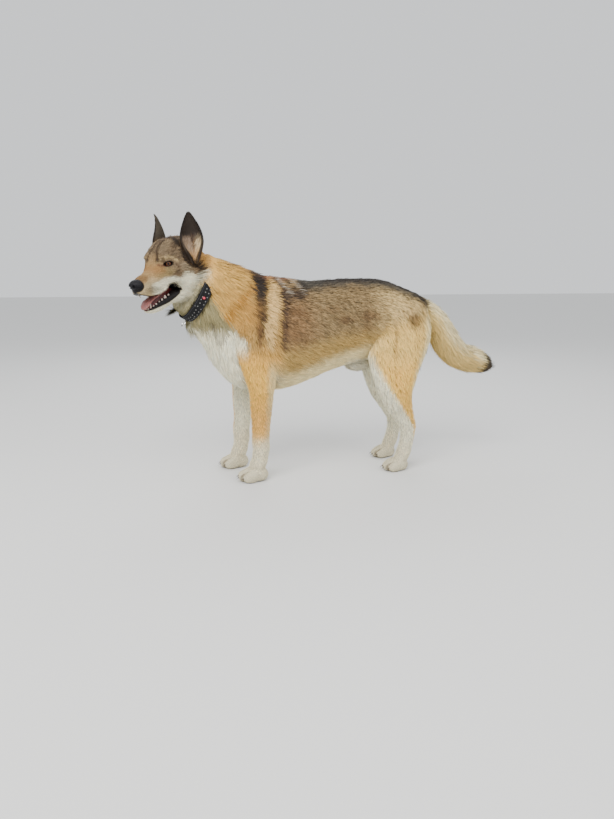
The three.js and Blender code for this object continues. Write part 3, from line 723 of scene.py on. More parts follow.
def ripple(points, scale, seed=0.0):
    """A smooth wavering value between -1 and 1, from sines in several directions."""
    x, y, z = (points / scale).T
    value = np.sin(x + 0.7 * z + seed) + np.sin(1.7 * z - 0.6 * y + 2.1 * seed)
    value += np.sin(1.3 * y + 0.9 * x + 1.3 + seed) + np.sin(2.3 * x - 1.9 * z + 0.5 * seed)
    return value / 4


saddle_low = curve(
    (-130, 640), (-70, 600), (-22, 614), (50, 622), (158, 632), (272, 616), (340, 592), (428, 560)
)
chest_edge = curve((300, -226), (450, -230), (500, -256), (545, -296), (600, -336), (650, -372), (700, -420))
stripe_front = curve((422, -144), (494, -164), (544, -155), (592, -150), (630, -140), (648, -130))
stripe_rear = curve((422, -140), (494, -129), (544, -118), (592, -107), (630, -114), (648, -126))


def trunk_colour(points):
    """The trunk's and neck's colour, and the share of hairs with black tips."""
    along, across, share, _ = trunk_place(points)
    z = points[:, 2] + 5 * ripple(points, 14.0)
    x = along + 4 * ripple(points, 11.0, 2.0)
    flat = np.stack([x, z], 1)
    under = under_line(along)
    uneven = 1 + 0.12 * ripple(points * (0.4, 1, 1), 7.0, 3.0)
    colour = plain(RUST_GREY, points) * uneven[:, None]
    grizzle = np.full(len(points), 0.5)
    rump = ramp(x, 170, 300)
    paint(colour, 0.9 * rump, tint(204, 180, 138))
    paint(colour, 0.5 * patch(x + 75, z - 520, 70, 90, 0.8), tint(128, 96, 72))
    for place, height, wide, high, strength in (
        (104, 535, 26, 12, 0.6), (190, 543, 34, 17, 0.6), (186, 508, 22, 12, 0.5), (343, 527, 24, 26, 0.85),
        (60, 566, 30, 10, 0.35), (-50, 560, 30, 14, 0.4),
    ):
        paint(colour, strength * patch(x - place, z - height, wide, high, 0.6), UMBER)
    low_flank = fall(z, under + 105 - 0.12 * x, under + 165 - 0.12 * x)
    paint(colour, low_flank, tint(164, 140, 99))
    grizzle = grizzle * (1 - 0.8 * low_flank)
    belly = fall(z, under + 26, under + 84)
    paint(colour, belly, CREAM)
    above = ramp(z, saddle_low(x) - 14, saddle_low(x) + 22) * ramp(x, -62, -30)
    paint(colour, 0.95 * above, SADDLE_GREY)
    grizzle = np.maximum(grizzle, 0.6 * above)
    spine = fall(np.abs(across), 22, 58) * ramp(x, 10, 90) * (share > 0)
    paint(colour, 0.85 * spine * fall(x, 330, 400), BLACK)
    # shoulder and neck
    shoulder = fall(x, -112, -96)
    paint(colour, shoulder, SHOULDER)
    grizzle = grizzle * (1 - 0.85 * shoulder)
    paint(colour, belly * ramp(x, -176, -150), CREAM)
    band = ramp(x, -208, -186) * fall(x, -162, -148) * ramp(z, 440, 520)
    band = band * (0.8 + 0.25 * ripple(points, 6.0, 4.0))
    paint(colour, 1.15 * band, tint(74, 58, 44))
    grizzle = np.maximum(grizzle, 0.45 * band)
    paint(colour, 0.8 * stroke(flat, [(-186, 522), (-184, 448)], 6), UMBER)
    neck = fall(x, -222, -190)
    paint(colour, neck * ramp(z, 470, 540), GOLD)
    paint(colour, 0.6 * patch(x + 232, z - 556, 46, 62, 0.6), tint(166, 128, 84))
    locks = np.clip(ripple(points * (0.5, 1, 1), 11.0, 7.0) - 0.1, 0, 1)
    paint(colour, 0.35 * locks * neck, tint(150, 108, 64))
    # Painted shade: a dark line along the back edge of the mane, where the ruff folds over the shoulder.
    fold = stroke(flat, [(-184, 655), (-206, 628), (-262, 578), (-288, 544), (-300, 520)], 7, 0.7)
    paint(colour, 0.7 * fold, tint(138, 96, 54))
    crest = stroke(flat, [(-400, 745), (-330, 742), (-260, 716), (-205, 690)], 14, 0.9)
    paint(colour, 0.5 * crest, tint(170, 130, 84))
    cape = patch(x + 172, z - 672, 36, 44, 0.4) + patch(x + 178, z - 628, 21, 34, 0.4)
    cape = cape * (0.9 + 0.2 * ripple(points * (1, 1, 0.4), 4.0, 6.0))
    paint(colour, 0.95 * cape, tint(46, 40, 36))
    grizzle = np.maximum(grizzle, 0.5 * np.clip(cape, 0, 1))
    ridge = patch(x + 108, z - 668, 56, 20, 0.4)
    paint(colour, 0.8 * ridge, tint(140, 96, 74))
    stripe = ramp(x, stripe_front(z) - 5, stripe_front(z) + 5)
    stripe = stripe * fall(x, stripe_rear(z) - 5, stripe_rear(z) + 5)
    stripe = stripe * ramp(z, 412, 455) * fall(z, 643, 652)
    paint(colour, 0.85 * stripe, tint(214, 184, 138))
    behind_stripe = [(-116, 652), (-98, 628), (-93, 590), (-97, 540), (-102, 490), (-104, 452)]
    behind_stripe = stroke(flat, behind_stripe, 9, 0.6)
    paint(colour, 0.85 * behind_stripe, tint(62, 49, 42))
    paint(colour, 0.8 * patch(x + 62, z - 610, 44, 16, 0.5), tint(58, 49, 44))
    for k in range(4):
        start = -118 + 22 * k
        streak = stroke(flat, [(start, 664), (start + 46, 616)], 3.2, 0.8)
        paint(colour, 0.7 * streak, (PALE_GREY, BLACK)[k % 2])
    # throat and chest
    nape = ramp(share, 0.8, 0.97) * fall(x, -190, -170)
    nape = nape * (0.35 + 0.65 * ramp(x, -330, -250))
    paint(colour, 0.8 * nape, tint(84, 66, 52))
    grizzle = np.maximum(grizzle, 0.55 * nape)
    front = fall(x, chest_edge(z) - 8, chest_edge(z) + 10)
    front = np.maximum(front, fall(z, under + 10, under + 44) * fall(x, -215, -160))
    white = fall(z, 480, 520)
    paint(colour, front, tint(140, 132, 104))
    paint(colour, front * white, WHITE)
    grizzle = grizzle * (1 - front)
    side_on = ramp(np.abs(across), 25, 60)
    paint(colour, 0.55 * side_on * stroke(flat, [(-330, 520), (-306, 472), (-282, 500)], 6, 0.8), SMOKE)
    # croup
    croup = patch(x - 405, z - 598, 40, 36, 0.5)
    paint(colour, 0.9 * croup, BLACK)
    sheath = patch(x - 178, z - 374, 60, 34, 0.3)
    paint(colour, sheath, tint(206, 200, 180))
    breech = ramp(x, 388, 410) * fall(z, 545, 575)
    paint(colour, 0.9 * breech, CREAM)
    return colour, np.clip(grizzle, 0, 1)


def leg_local(points, name):
    """Where a point lies on its leg's slice: ahead (-1) to behind (1), and inside (-1) to outside (1)."""
    side, (line_x, line_y, along, across), _, _ = LEGS[name]
    x, y, z = points.T
    return (x - line_x(z)) / along(z), (side * y - line_y(z)) / across(z), z


def foreleg_colour(points, name):
    """Orange outside, cream behind and white inside and on the foot."""
    behind, outside, z = leg_local(points, name)
    z = z + 7 * ripple(points, 10.0)
    colour = plain(ORANGE, points)
    paint(colour, 0.6 * ramp(z, 370, 460), tint(196, 154, 104))
    cream = ramp(behind, 0.15, 0.7) * fall(z, 360, 430)
    paint(colour, 0.8 * cream, CREAM)
    paint(colour, 0.45 * fall(z, 210, 300) * ramp(z, 120, 180), tint(214, 170, 122))
    inner = fall(outside, -0.35, 0.1)
    paint(colour, inner, WHITE)
    paint(colour, fall(z, 110, 175), tint(240, 230, 204))
    return colour, np.zeros(len(points))


thigh_white = curve(
    (60, 1.2), (130, 0.7), (180, 0.3), (236, 0.02), (300, -0.4), (346, -0.62), (420, -0.9), (470, -1.3)
)


def hindleg_colour(points, name):
    """Fawn thigh with a thin dark line, orange shank, white ahead and inside, cream behind."""
    behind, outside, z = leg_local(points, name)
    x = points[:, 0]
    z = z + 7 * ripple(points, 11.0)
    ahead_shift = HIND_STRIDE if name.endswith("right") else 0
    colour = plain(tint(226, 194, 136), points)
    paint(colour, fall(z, 330, 430), tint(238, 196, 130))
    flat = np.stack([x + ahead_shift, z], 1)
    paint(colour, 0.6 * stroke(flat, [(284, 530), (280, 470), (277, 400)], 4.5, 0.8), tint(110, 80, 52))
    paint(colour, 0.85 * patch(x - 343, z - 527, 24, 26, 0.6), UMBER)
    paint(colour, ramp(behind, 0.66, 0.9) * ramp(z, 240, 300), CREAM)
    white = fall(behind, thigh_white(z) - 0.16, thigh_white(z) + 0.16)
    paint(colour, white, WHITE)
    inner = fall(outside, -0.4, 0.05)
    paint(colour, inner, WHITE)
    paint(colour, fall(z, 70, 120), tint(240, 231, 206))
    grizzle = 0.2 * ramp(z, 400, 520) * (1 - inner) * (1 - white)
    return colour, grizzle


def paw_colour(points, name):
    """White toes with painted shade in the gaps between them, and bare black pads underneath."""
    colour = plain(tint(240, 231, 206), points)
    long, wide, _, x, side = PAWS[name]
    # Painted shade: dark lines in the gaps between the toes, on the front of the paw.
    for gap in (-2 / 3, 0, 2 / 3):
        away = np.abs(points[:, 1] - side * PAW_OUT - gap * wide * 0.37)
        ahead = fall(points[:, 0], x - long * 0.26, x - long * 0.12)
        paint(colour, 0.75 * ahead * fall(away, 0.6, 2.4), tint(110, 96, 80))
    pads = fall(points[:, 2], 1.5, 5.0)
    paint(colour, pads, tint(44, 40, 40))
    return colour, np.zeros(len(points))


def tail_colour(points):
    """Black at the root and the tip, cream above with grey tips, fawn below."""
    share, _ = tail_place(points.astype(np.float32))
    at = np.clip((share * (TAIL_STEPS - 1)).round().astype(int), 0, TAIL_STEPS - 1)
    tangent = TAIL_TANGENTS[at]
    up = np.stack([-tangent[:, 2], np.zeros(len(at)), tangent[:, 0]], 1)
    rise = ((points - TAIL_PATH[at]) * up).sum(1) / (tail_thickness(share) * TAIL_FLESH)
    colour = plain(tint(200, 176, 128), points)
    paint(colour, ramp(rise, -0.3, 0.5), tint(222, 208, 172))
    grizzle = 0.3 * ramp(rise, 0, 0.8)
    root = fall(share + 0.03 * ripple(points, 12.0), 0.13, 0.22)
    front = root * fall(share, 0.2, 0.3) * fall(rise, 0.1, 0.8)
    paint(colour, 0.9 * root * fall(share, 0.05, 0.14), BLACK)
    paint(colour, 0.85 * front, UMBER)
    paint(colour, 0.95 * ramp(share + 0.02 * ripple(points, 9.0), 0.87, 0.92), BLACK)
    return colour, grizzle


# Rows of whiskers on the left side: where each starts, its height, how many, and how long.
WHISKER_ROWS = [
    (26, -14, 4, 30), (30, -18, 5, 38), (36, -22, 5, 44), (44, -26, 4, 40), (112, 56, 3, 30),
    (140, -4, 2, 28),
]
WHISKER_GAP = 7
WHISKER_RISE = 1.5
white_top = curve(
    (20, -30), (44, -8), (60, -6), (81, -2), (100, 4), (121, 4), (147, -3), (158, 9), (177, 7), (205, -12),
    (240, -30),
)
lip_low = curve((28, -82), (40, -82), (64, -79), (99, -74), (117, -67), (136, -58), (150, -48))


def head_colour(head):
    """Colours of the face, from nose to ears, in the head's frame."""
    near = left_half(head).astype(float)
    x, y, z = near.T
    wide = -y
    x = x + 2.0 * ripple(near, 7.0)
    z = z + 2.0 * ripple(near, 6.0, 1.0)
    side = np.stack([x, z], 1)
    above = np.stack([x, wide], 1)
    colour = plain(BROW_GREY, near)
    grizzle = np.full(len(near), 0.3)
    paint(colour, 0.45 * patch(x - 150, wide - 26, 30, 14, 0.7) * (z > 60), tint(158, 142, 118))
    grizzle = grizzle + 0.25 * (z > 45)
    # muzzle: tan bridge, cream sides
    muzzle = fall(x, 92, 122)
    paint(colour, muzzle, tint(173, 146, 111))
    paint(colour, 0.65 * muzzle * patch(x - 32, z - 16, 24, 9, 0.7), tint(104, 80, 60))
    paint(colour, 0.5 * muzzle * patch(x - 60, z - 6, 13, 9, 0.8), tint(226, 206, 172))
    paint(colour, 0.4 * muzzle * np.clip(ripple(near, 5.0, 9.0), 0, 1), tint(126, 96, 68))
    grizzle = grizzle * (1 - muzzle)
    side_cream = fall(z, -8 + 0.1 * x, 6 + 0.1 * x)
    paint(colour, 0.85 * muzzle * side_cream, tint(188, 172, 142))
    paint(colour, 0.5 * patch(x - 62, z + 12, 14, 3.5, 0.7), tint(120, 108, 84))
    for start_x, start_z, number, _ in WHISKER_ROWS[:4]:
        for k in range(number):
            dot = patch(x - start_x - WHISKER_GAP * k, z - start_z - WHISKER_RISE * k, 1.7, 1.7, 0.5)
            dot = dot * (wide > 8)
            paint(colour, 0.8 * dot, tint(60, 48, 42))
    # under the eye
    paint(colour, 0.8 * patch(x - 108, z - 19, 26, 13, 0.5) * (wide > 25), tint(160, 142, 108))
    paint(colour, 0.5 * patch(x - 92, z - 30, 16, 12, 0.6), tint(150, 108, 74))
    # brows
    arc = stroke(side, [(101, 52), (111, 59), (128, 62), (141, 56), (148, 46)], 4.6, 0.6) * (wide > 18)
    paint(colour, 0.8 * arc, tint(206, 184, 146))
    streak = stroke(above, [(106, 21), (116, 15), (128, 10), (150, 9), (172, 8), (192, 4)], 4.2, 0.6)
    paint(colour, 0.85 * (streak * (z > 50)), tint(62, 49, 42))
    outer_streak = stroke(above, [(150, 44), (175, 36), (200, 20)], 5.0, 0.8)
    paint(colour, 0.6 * outer_streak * (z > 60), tint(92, 77, 64))
    crown_edge = ramp(x, 172, 190) * (z > 84) * fall(wide, 44, 66)
    paint(colour, 0.6 * crown_edge, tint(58, 48, 42))
    inner_brow = stroke(above, [(103, 18), (108, 30), (113, 40)], 3.6, 0.7) * (z > 47) * (z < 62)
    paint(colour, 0.75 * inner_brow, tint(58, 45, 40))
    # white cheeks and lips
    white = fall(z, white_top(x) - 4, white_top(x) + 4)
    white = white * ramp(x, 40, 70)
    paint(colour, white, WHITE)
    grizzle = grizzle * (1 - white)
    # A greyer patch just under the cheek bone, at the top edge of the white.
    grey_under_cheekbone = patch(x - 147, z + 1, 12, 4, 0.6)
    paint(colour, 0.6 * grey_under_cheekbone, tint(140, 128, 112))
    cheek = patch(x - 176, z - 20, 26, 16, 0.6)
    paint(colour, 0.4 * cheek, tint(150, 140, 120))
    chin = fall(z, -66, -50)
    paint(colour, chin * fall(x, 190, 230), WHITE)
    # the black line from the crown, in front of the ear and down behind the cheek
    top_edge = stroke(above, [(190, 18), (181, 38), (173, 56)], 6.5, 0.5) * (z > 80)
    up_ear, turn, away, _ = ear_place(near.astype(np.float32))
    beside_ear = fall(np.abs(away - ear_radius(up_ear) - 4), 5, 10)
    beside_ear = beside_ear * ramp(turn, 0.7, 1.2) * (up_ear < 0.5) * ramp(up_ear, -0.36, -0.26)
    edge = np.maximum(top_edge, beside_ear)
    paint(colour, 0.94 * edge, BLACK)
    grizzle = grizzle * (1 - edge)
    behind = ramp(x, 222, 240) * ramp(z, -40, 0)
    paint(colour, behind, tint(188, 148, 102))
    # eye rims, the tear line and the line from the outer corner
    gap = np.abs(lid_gap(near.astype(np.float32)))
    out, _, ahead = eye_view(near.astype(np.float32))
    corner = fall(np.abs(out), 14.5, 17)
    rim = fall(gap, 1.8, 4.2) * (ahead > 0) * corner
    paint(colour, rim, LIP_BLACK)
    grizzle = grizzle * (1 - rim)
    tear = stroke(side, [(116, 38), (108, 38), (100, 41)], 3.6, 0.8) * (wide > 20)
    paint(colour, 0.75 * tear, tint(84, 54, 48))
    outer_line = stroke(side, [(143, 36), (147, 26), (139, 15), (130, 10)], 2.6, 0.7)
    paint(colour, 0.7 * outer_line, tint(78, 62, 50))
    return colour, np.clip(grizzle, 0, 1)


def lip_share(head):
    """1 on the black lips and gums, and the share of red flesh deeper in the mouth."""
    near = left_half(head)
    x, y, z = near.T
    hollow = mouth_hollow(near)
    lips = fall(hollow, 1.8, 3.6)
    lips = lips * fall(x, 150, 156)
    back_wall = ramp(x, 138, 145) * fall(x, 157, 162) * fall(-y, 43, 48)
    lips = np.maximum(lips, back_wall * ramp(z, -66, -60) * fall(z, -29, -25))
    jaw_side = ramp(z, lip_low(x) - 1.5, lip_low(x) + 1.5) * fall(z, lip_line(x) - 8, lip_line(x) - 4)
    jaw_side = jaw_side * fall(x, 148, 154) * (z < jaw_upper(x) + 8)
    corner = ramp(x, 94, 104) * fall(x, 147, 153) * (z > lip_low(x))
    raised = 9 * ramp(x, 96, 116) * fall(x, 136, 151)
    corner = corner * fall(z, lip_line(x) - 1 + raised, lip_line(x) + 2.5 + raised)
    jaw_side = np.maximum(jaw_side, corner)
    inside = fall(hollow, 0.5, 1.5) * fall(-y, lip_out(x) - 9, lip_out(x) - 5)
    round_nose = fall(ball(near, (17, -5, -2), (20, 22, 18)), -0.5, 2.5)
    philtrum = fall(-y, 1.5, 4.5) * fall(x, 26, 34) * (z < 0)
    front_lip = fall(z, lip_line(x) + 1, lip_line(x) + 4) * fall(x, 60, 100) * (z > lip_line(x) - 9)
    lips = np.maximum(np.maximum(lips, round_nose), np.maximum(philtrum, front_lip))
    inside = inside * ramp(x, 30, 40) * fall(x, 150, 154)
    return np.maximum(lips, jaw_side), inside


EAR_FRONT = -1.0  # turns the ear's own angle round, so that it grows away from the front edge


def ear_colour(near):
    """Smoke-grey backs with black edges, a dark cup with a bare pink-grey place low at the front, and painted
    shade along a fold inside the cup.
    """
    share, angle, reach, _ = ear_place(near.astype(np.float32))
    inner = ear_cup(share, reach)
    colour = plain(SMOKE, near)
    paint(colour, 0.65 * fall(share, 0.15, 0.5) * ~inner, tint(150, 118, 84))
    wrap = np.radians(ear_wrap(share))
    rim = ramp(np.abs(angle) / wrap, 0.84, 0.96)
    paint(colour, inner, tint(64, 57, 52))
    low_front = inner * fall(share, 0.34, 0.5) * fall(angle * EAR_FRONT, -0.35, 0.25)
    paint(colour, 0.9 * low_front, EAR_PINK)
    # Painted shade: a narrow dark band where the cup folds, between the pink place and the pale hair.
    fold = inner * (share < 0.5) * fall(np.abs(angle * EAR_FRONT - 0.12), 0.1, 0.28)
    paint(colour, 0.8 * fold, tint(70, 56, 50))
    pale = inner * fall(share, 0.3, 0.46) * ramp(angle * EAR_FRONT, 0.25, 0.5)
    paint(colour, 0.9 * pale, tint(206, 188, 158))
    low_hair = inner * fall(share, 0.0, 0.14)
    paint(colour, 0.85 * low_hair, tint(186, 152, 116))
    paint(colour, 0.9 * rim, BLACK)
    return colour, np.zeros(len(near))


# The dark line that comes down from the ear behind the cheek, painted shadow where the cheek ruff lies over
# the neck: ahead and up, in the head's frame.
CHEEK_SHADOW_LINE = [(184, 60), (188, 44), (194, 30), (215, 11), (221, -3), (213, -19), (202, -43)]

PART_NAMES = ("trunk", "sheath", *LEGS, *PAWS, "tail", "head", "ears")


def share_in(mixed, *names):
    """How much the named parts count together."""
    return mixed[:, [PART_NAMES.index(name) for name in names]].sum(1)


def shares(points, soft=7.0):
    """How much each part of the hide counts at a point, adding up to 1."""
    found = shapes(points)
    away = np.stack([found[name] for name in PART_NAMES], 1).astype(float)
    near = np.exp(-(away - away.min(1)[:, None]) / soft)
    return near / near.sum(1)[:, None]


def markings(points, mixed):
    """Colour, black-tipped share, bare share and wet share at points of the dog's frame."""
    colour = np.zeros((len(points), 3))
    grizzle = np.zeros(len(points))
    bare = np.zeros(len(points))
    head = to_head(points)
    for i, name in enumerate(PART_NAMES):
        share = mixed[:, i]
        used = share > 0.02
        if not used.any():
            continue
        here = points[used]
        if name in ("trunk", "sheath"):
            tone, tips = trunk_colour(here)
        elif name in LEGS:
            tone, tips = (foreleg_colour if "fore" in name else hindleg_colour)(here, name)
            torso_tone, torso_tips = trunk_colour(here)
            high = ramp(here[:, 2], *((400, 470) if "fore" in name else (480, 560)))
            tone = tone + (torso_tone - tone) * high[:, None]
            tips = tips + (torso_tips - tips) * high
        elif name in PAWS:
            tone, tips = paw_colour(here, name)
            bare[used] += share[used] * fall(here[:, 2], 1.5, 5.0)
        elif name == "tail":
            tone, tips = tail_colour(here)
        elif name == "head":
            tone, tips = head_colour(head[used])
        else:
            tone, tips = ear_colour(left_half(head[used]))
        colour[used] += tone * share[used, None]
        grizzle[used] += tips * share[used]
    total = sum(mixed[:, i] * (mixed[:, i] > 0.02) for i in range(len(PART_NAMES)))
    colour /= total[:, None]
    side_x, side_y, side_z = left_half(head).astype(float).T
    # Painted shadow: a dark line down behind the cheek, where the cheek ruff lies over the neck.
    line = stroke(np.stack([side_x, side_z], 1), CHEEK_SHADOW_LINE, 9.0, 0.35) * ramp(side_z, -42, -6)
    line = line * ramp(-side_y, 40, 50) * (share_in(mixed, "ears") < 0.9)
    paint(colour, 0.95 * line, tint(50, 42, 36))
    in_face = share_in(mixed, "head") > 0.3
    lips, flesh = np.zeros(len(points)), np.zeros(len(points))
    lips[in_face], flesh[in_face] = lip_share(head[in_face])
    paint(colour, lips, LIP_BLACK)
    paint(colour, flesh, MOUTH_RED)
    wet = np.maximum(lips, flesh)
    return colour, grizzle, np.maximum(bare, wet), wet



# ---- Hide ----
# The skin's own data: its markings, where it is bare, and coordinates that run along the hairs, so
# that the fine ridges of its short under-fur follow the lie of the coat.
def unwrap(points, head, chart):
    """Where a point lies on the flat layout of one part's skin: along the part, and the angle round it."""
    x, y, z = points.T
    if chart in ("trunk_left", "trunk_right"):
        along, across, share, reach = trunk_place(points)
        side = -1 if chart == "trunk_left" else 1
        return (along + 450) / 900, np.arctan2(np.clip(side * across, 0, None), share * reach) / np.pi
    if chart in LEGS:
        side, (line_x, line_y, _, _), _, _ = LEGS[chart]
        angle = np.arctan2(x - line_x(z), side * y - line_y(z))
        return z / 630, angle / (2 * np.pi) + 0.5
    if chart in PAWS:
        _, _, high, at, side = PAWS[chart]
        away = points - (at, side * PAW_OUT, high * 0.4)
        polar = np.arctan2(np.hypot(away[:, 0], away[:, 1]), away[:, 2]) / (2 * np.pi)
        turn = np.arctan2(away[:, 1], away[:, 0])
        return 0.5 + polar * np.cos(turn), 0.5 + polar * np.sin(turn)
    if chart == "tail":
        share, _ = tail_place(points.astype(np.float32))
        centre = TAIL_PATH[np.clip((share * (TAIL_STEPS - 1)).round().astype(int), 0, TAIL_STEPS - 1)]
        return share, np.arctan2(y - centre[:, 1], z - centre[:, 2] + x - centre[:, 0]) / (2 * np.pi) + 0.5
    if chart == "ears":
        near = left_half(head)
        share, angle, reach, _ = ear_place(near)
        inner = ear_cup(share, reach)
        round_it = np.clip(angle / np.radians(ear_wrap(share)), -1, 1) / 2 + 0.5
        return (inner + round_it) / 2, (np.clip(share, 0, 1) + (head[:, 1] > 0)) / 2
    if chart == "mouth":
        middle = (lip_line(head[:, 0]) + jaw_upper(head[:, 0])) / 2
        return (head[:, 0] + 10) / 290, np.arctan2(head[:, 1], head[:, 2] - middle) / (2 * np.pi) + 0.5
    return (head[:, 0] + 10) / 290, np.arctan2(head[:, 1], head[:, 2] + 10) / (2 * np.pi) + 0.5


CHARTS = ("trunk_left", "trunk_right", *LEGS, "head", "ears", "tail", "mouth", *PAWS)
CHARTS_ACROSS = 4
CHARTS_UP = 4


def chart_of(points, head, mixed):
    """The number of the chart that each point belongs to."""
    best = mixed.argmax(1)
    chart = np.zeros(len(points), int)
    for i, name in enumerate(PART_NAMES):
        here = best == i
        if name in ("trunk", "sheath"):
            across = trunk_place(points[here])[1]
            chart[here] = (across > 0).astype(int)
        elif name in CHARTS:
            chart[here] = CHARTS.index(name)
    mouth = (best == PART_NAMES.index("head")) & (mouth_hollow(head) < 2.5)
    chart[mouth] = CHARTS.index("mouth")
    return chart


def lay_flat(points, head, chart):
    """The flat layout of each point in the sheet of all charts."""
    flat = np.zeros((len(points), 2))
    for i, name in enumerate(CHARTS):
        here = chart == i
        if here.any():
            u, v = unwrap(points[here], head[here], name)
            flat[here] = np.stack([u, v], 1)
    return flat


def read(items, name, width, kind):
    """One property of all items, as rows of the width."""
    values = np.empty(len(items) * width, kind)
    items.foreach_get(name, values)
    return values.reshape(-1, width) if width > 1 else values


def read_mesh(mesh):
    """A mesh's points in the dog's frame, its normals and its triangles."""
    points = read(mesh.vertices, "co", 3, np.float32).astype(float)
    normals = read(mesh.vertex_normals, "vector", 3, np.float32).astype(float)
    mesh.calc_loop_triangles()
    return (points - ORIGIN) * 1000, normals, read(mesh.loop_triangles, "vertices", 3, np.int32)


hide_points, hide_normals, hide_triangles = read_mesh(skin.data)
hide_head = to_head(hide_points)
hide_shares = shares(hide_points)
hide_colour, _, hide_bare, hide_wet = markings(hide_points, hide_shares)


def add_colour(mesh, name, colour):
    """A colour for each point, which the materials read by name."""
    values = np.ones((len(colour), 4), np.float32)
    values[:, :3] = np.clip(colour, 0, 1)
    mesh.attributes.new(name, "FLOAT_COLOR", "POINT").data.foreach_set("color", values.ravel())


def add_value(mesh, name, value):
    mesh.attributes.new(name, "FLOAT", "POINT").data.foreach_set("value", value.astype(np.float32))


def add_place(mesh, name, place):
    """Three coordinates for each point, which textures are laid over."""
    values = place.astype(np.float32).ravel()
    mesh.attributes.new(name, "FLOAT_VECTOR", "POINT").data.foreach_set("vector", values)


def add_layout(mesh, flat):
    """The flat layout of a mesh, from one pair for each corner."""
    mesh.uv_layers.new(name="OFBake").uv.foreach_set("vector", flat.astype(np.float32).ravel())


def comb_place(points, mixed):
    """Coordinates that run along the hair in units of 12 mm, and across it in units of 1.2 mm."""
    x, y, z = points.T
    down = sum(share_in(mixed, name) for name in LEGS)[:, None]
    level = np.stack([x / 12, (z + 0.2 * x) / 1.2, y / 1.2], 1)
    upright = np.stack([x / 1.2, z / 12, y / 1.2], 1)
    return level + (upright - level) * down


# Painted shade: where hair covers the skin, its colour is darkened to 0.62, as the coat over it would shade
# it; bare skin keeps its full colour.
fur_shaded_undercoat = hide_colour * (0.62 + 0.38 * hide_bare)[:, None]
add_colour(skin.data, "coat", fur_shaded_undercoat)
add_value(skin.data, "bare", hide_bare)
add_value(skin.data, "wet", hide_wet)
add_place(skin.data, "comb", comb_place(hide_points, hide_shares))

loops = read(skin.data.loops, "vertex_index", 1, np.int32)
totals = read(skin.data.polygons, "loop_total", 1, np.int32)
face_of_loop = np.repeat(np.arange(len(totals)), totals)
face_middle = np.stack([np.bincount(face_of_loop, hide_points[loops, i]) / totals for i in range(3)], 1)
face_head = to_head(face_middle)
chart = chart_of(face_middle, face_head, shares(face_middle))
middle_flat = lay_flat(face_middle, face_head, chart)[face_of_loop]
corner_flat = lay_flat(hide_points[loops], hide_head[loops], chart[face_of_loop])
gap = corner_flat - middle_flat
gap -= np.round(gap)  # a face that crosses the seam of its angle keeps to one side
flat = np.clip(middle_flat + np.clip(gap, -0.04, 0.04), 0, 1)
cell = np.stack([chart % CHARTS_ACROSS, chart // CHARTS_ACROSS], 1)[face_of_loop]
add_layout(skin.data, (cell + 0.02 + 0.96 * flat) / (CHARTS_ACROSS, CHARTS_UP))


def feed(made, inputs):
    """Sets or links inputs of a node, by number or name. A node as a value stands for its first output."""
    for key, value in inputs.items():
        if isinstance(value, bpy.types.Node):
            value = value.outputs[0]
        if isinstance(value, bpy.types.NodeSocket):
            made.id_data.links.new(value, made.inputs[key])
        else:
            made.inputs[key].default_value = value


def node(tree, kind, inputs, **settings):
    """A new node, with its properties set by name."""
    made = tree.nodes.new("ShaderNode" + kind)
    for key, value in settings.items():
        setattr(made, key, value)
    feed(made, inputs)
    return made


def attribute(tree, name, output):
    return node(tree, "Attribute", {}, attribute_name=name).outputs[output]


def texture(tree, kind, scale, **inputs):
    """A texture laid over the object's own coordinates."""
    place = node(tree, "TexCoord", {}).outputs["Object"]
    return node(tree, kind, {"Vector": place, "Scale": scale, **inputs})


def mix(tree, share, low, high):
    """From the first colour to the second, by the share."""
    return node(tree, "MixRGB", {0: share, 1: low, 2: high})


def bump(tree, strength, distance, height):
    return node(tree, "Bump", {"Strength": strength, "Distance": distance, "Height": height})


def remap(tree, value, start, end, low, high):
    """Takes the range from start to end to the range from low to high."""
    inputs = {"From Min": start, "From Max": end, "To Min": low, "To Max": high}
    return node(tree, "MapRange", {"Value": value, **inputs})


def calculate(tree, operation, *values):
    return node(tree, "Math", dict(enumerate(values)), operation=operation)


def mottled(tree, colour, vector, scale, amount):
    """Strands of slightly lighter and darker hair in a colour, with their height."""
    inputs = {"Color": colour, "Vector": vector, "Scale": scale, "Amount": amount}
    return node(tree, "Group", inputs, node_tree=mottle)


def material(name):
    """A new material and its node tree."""
    made = bpy.data.materials.new(name)
    made.use_nodes = True
    return made, made.node_tree


def finish(tree, **inputs):
    """Sets or links the inputs of a material's main shader. Their names have _ for each space."""
    shader = next(n for n in tree.nodes if n.type == "BSDF_PRINCIPLED")
    feed(shader, {name.replace("_", " "): value for name, value in inputs.items()})


# Hair mottle: strands of slightly lighter and darker hair, from noise on the coordinates it is given.
mottle = bpy.data.node_groups.new("hair_mottle", "ShaderNodeTree")
for way, name, kind in (
    ("INPUT", "Color", "Color"), ("INPUT", "Vector", "Vector"), ("INPUT", "Scale", "Float"),
    ("INPUT", "Amount", "Float"), ("OUTPUT", "Color", "Color"), ("OUTPUT", "Height", "Float"),
):
    mottle.interface.new_socket(name=name, in_out=way, socket_type="NodeSocket" + kind)
given = mottle.nodes.new("NodeGroupInput").outputs
noise = {"Vector": given["Vector"], "Scale": given["Scale"], "Detail": 3.0, "Roughness": 0.6}
fine = node(mottle, "TexNoise", noise)
swing = remap(mottle, fine, 0.3, 0.7, -1.0, 1.0)
scaled = calculate(mottle, "MULTIPLY_ADD", swing, given["Amount"], 1.0)
shaded = node(mottle, "VectorMath", {0: given["Color"], "Scale": scaled}, operation="SCALE")
feed(mottle.nodes.new("NodeGroupOutput"), {"Color": shaded, "Height": fine})

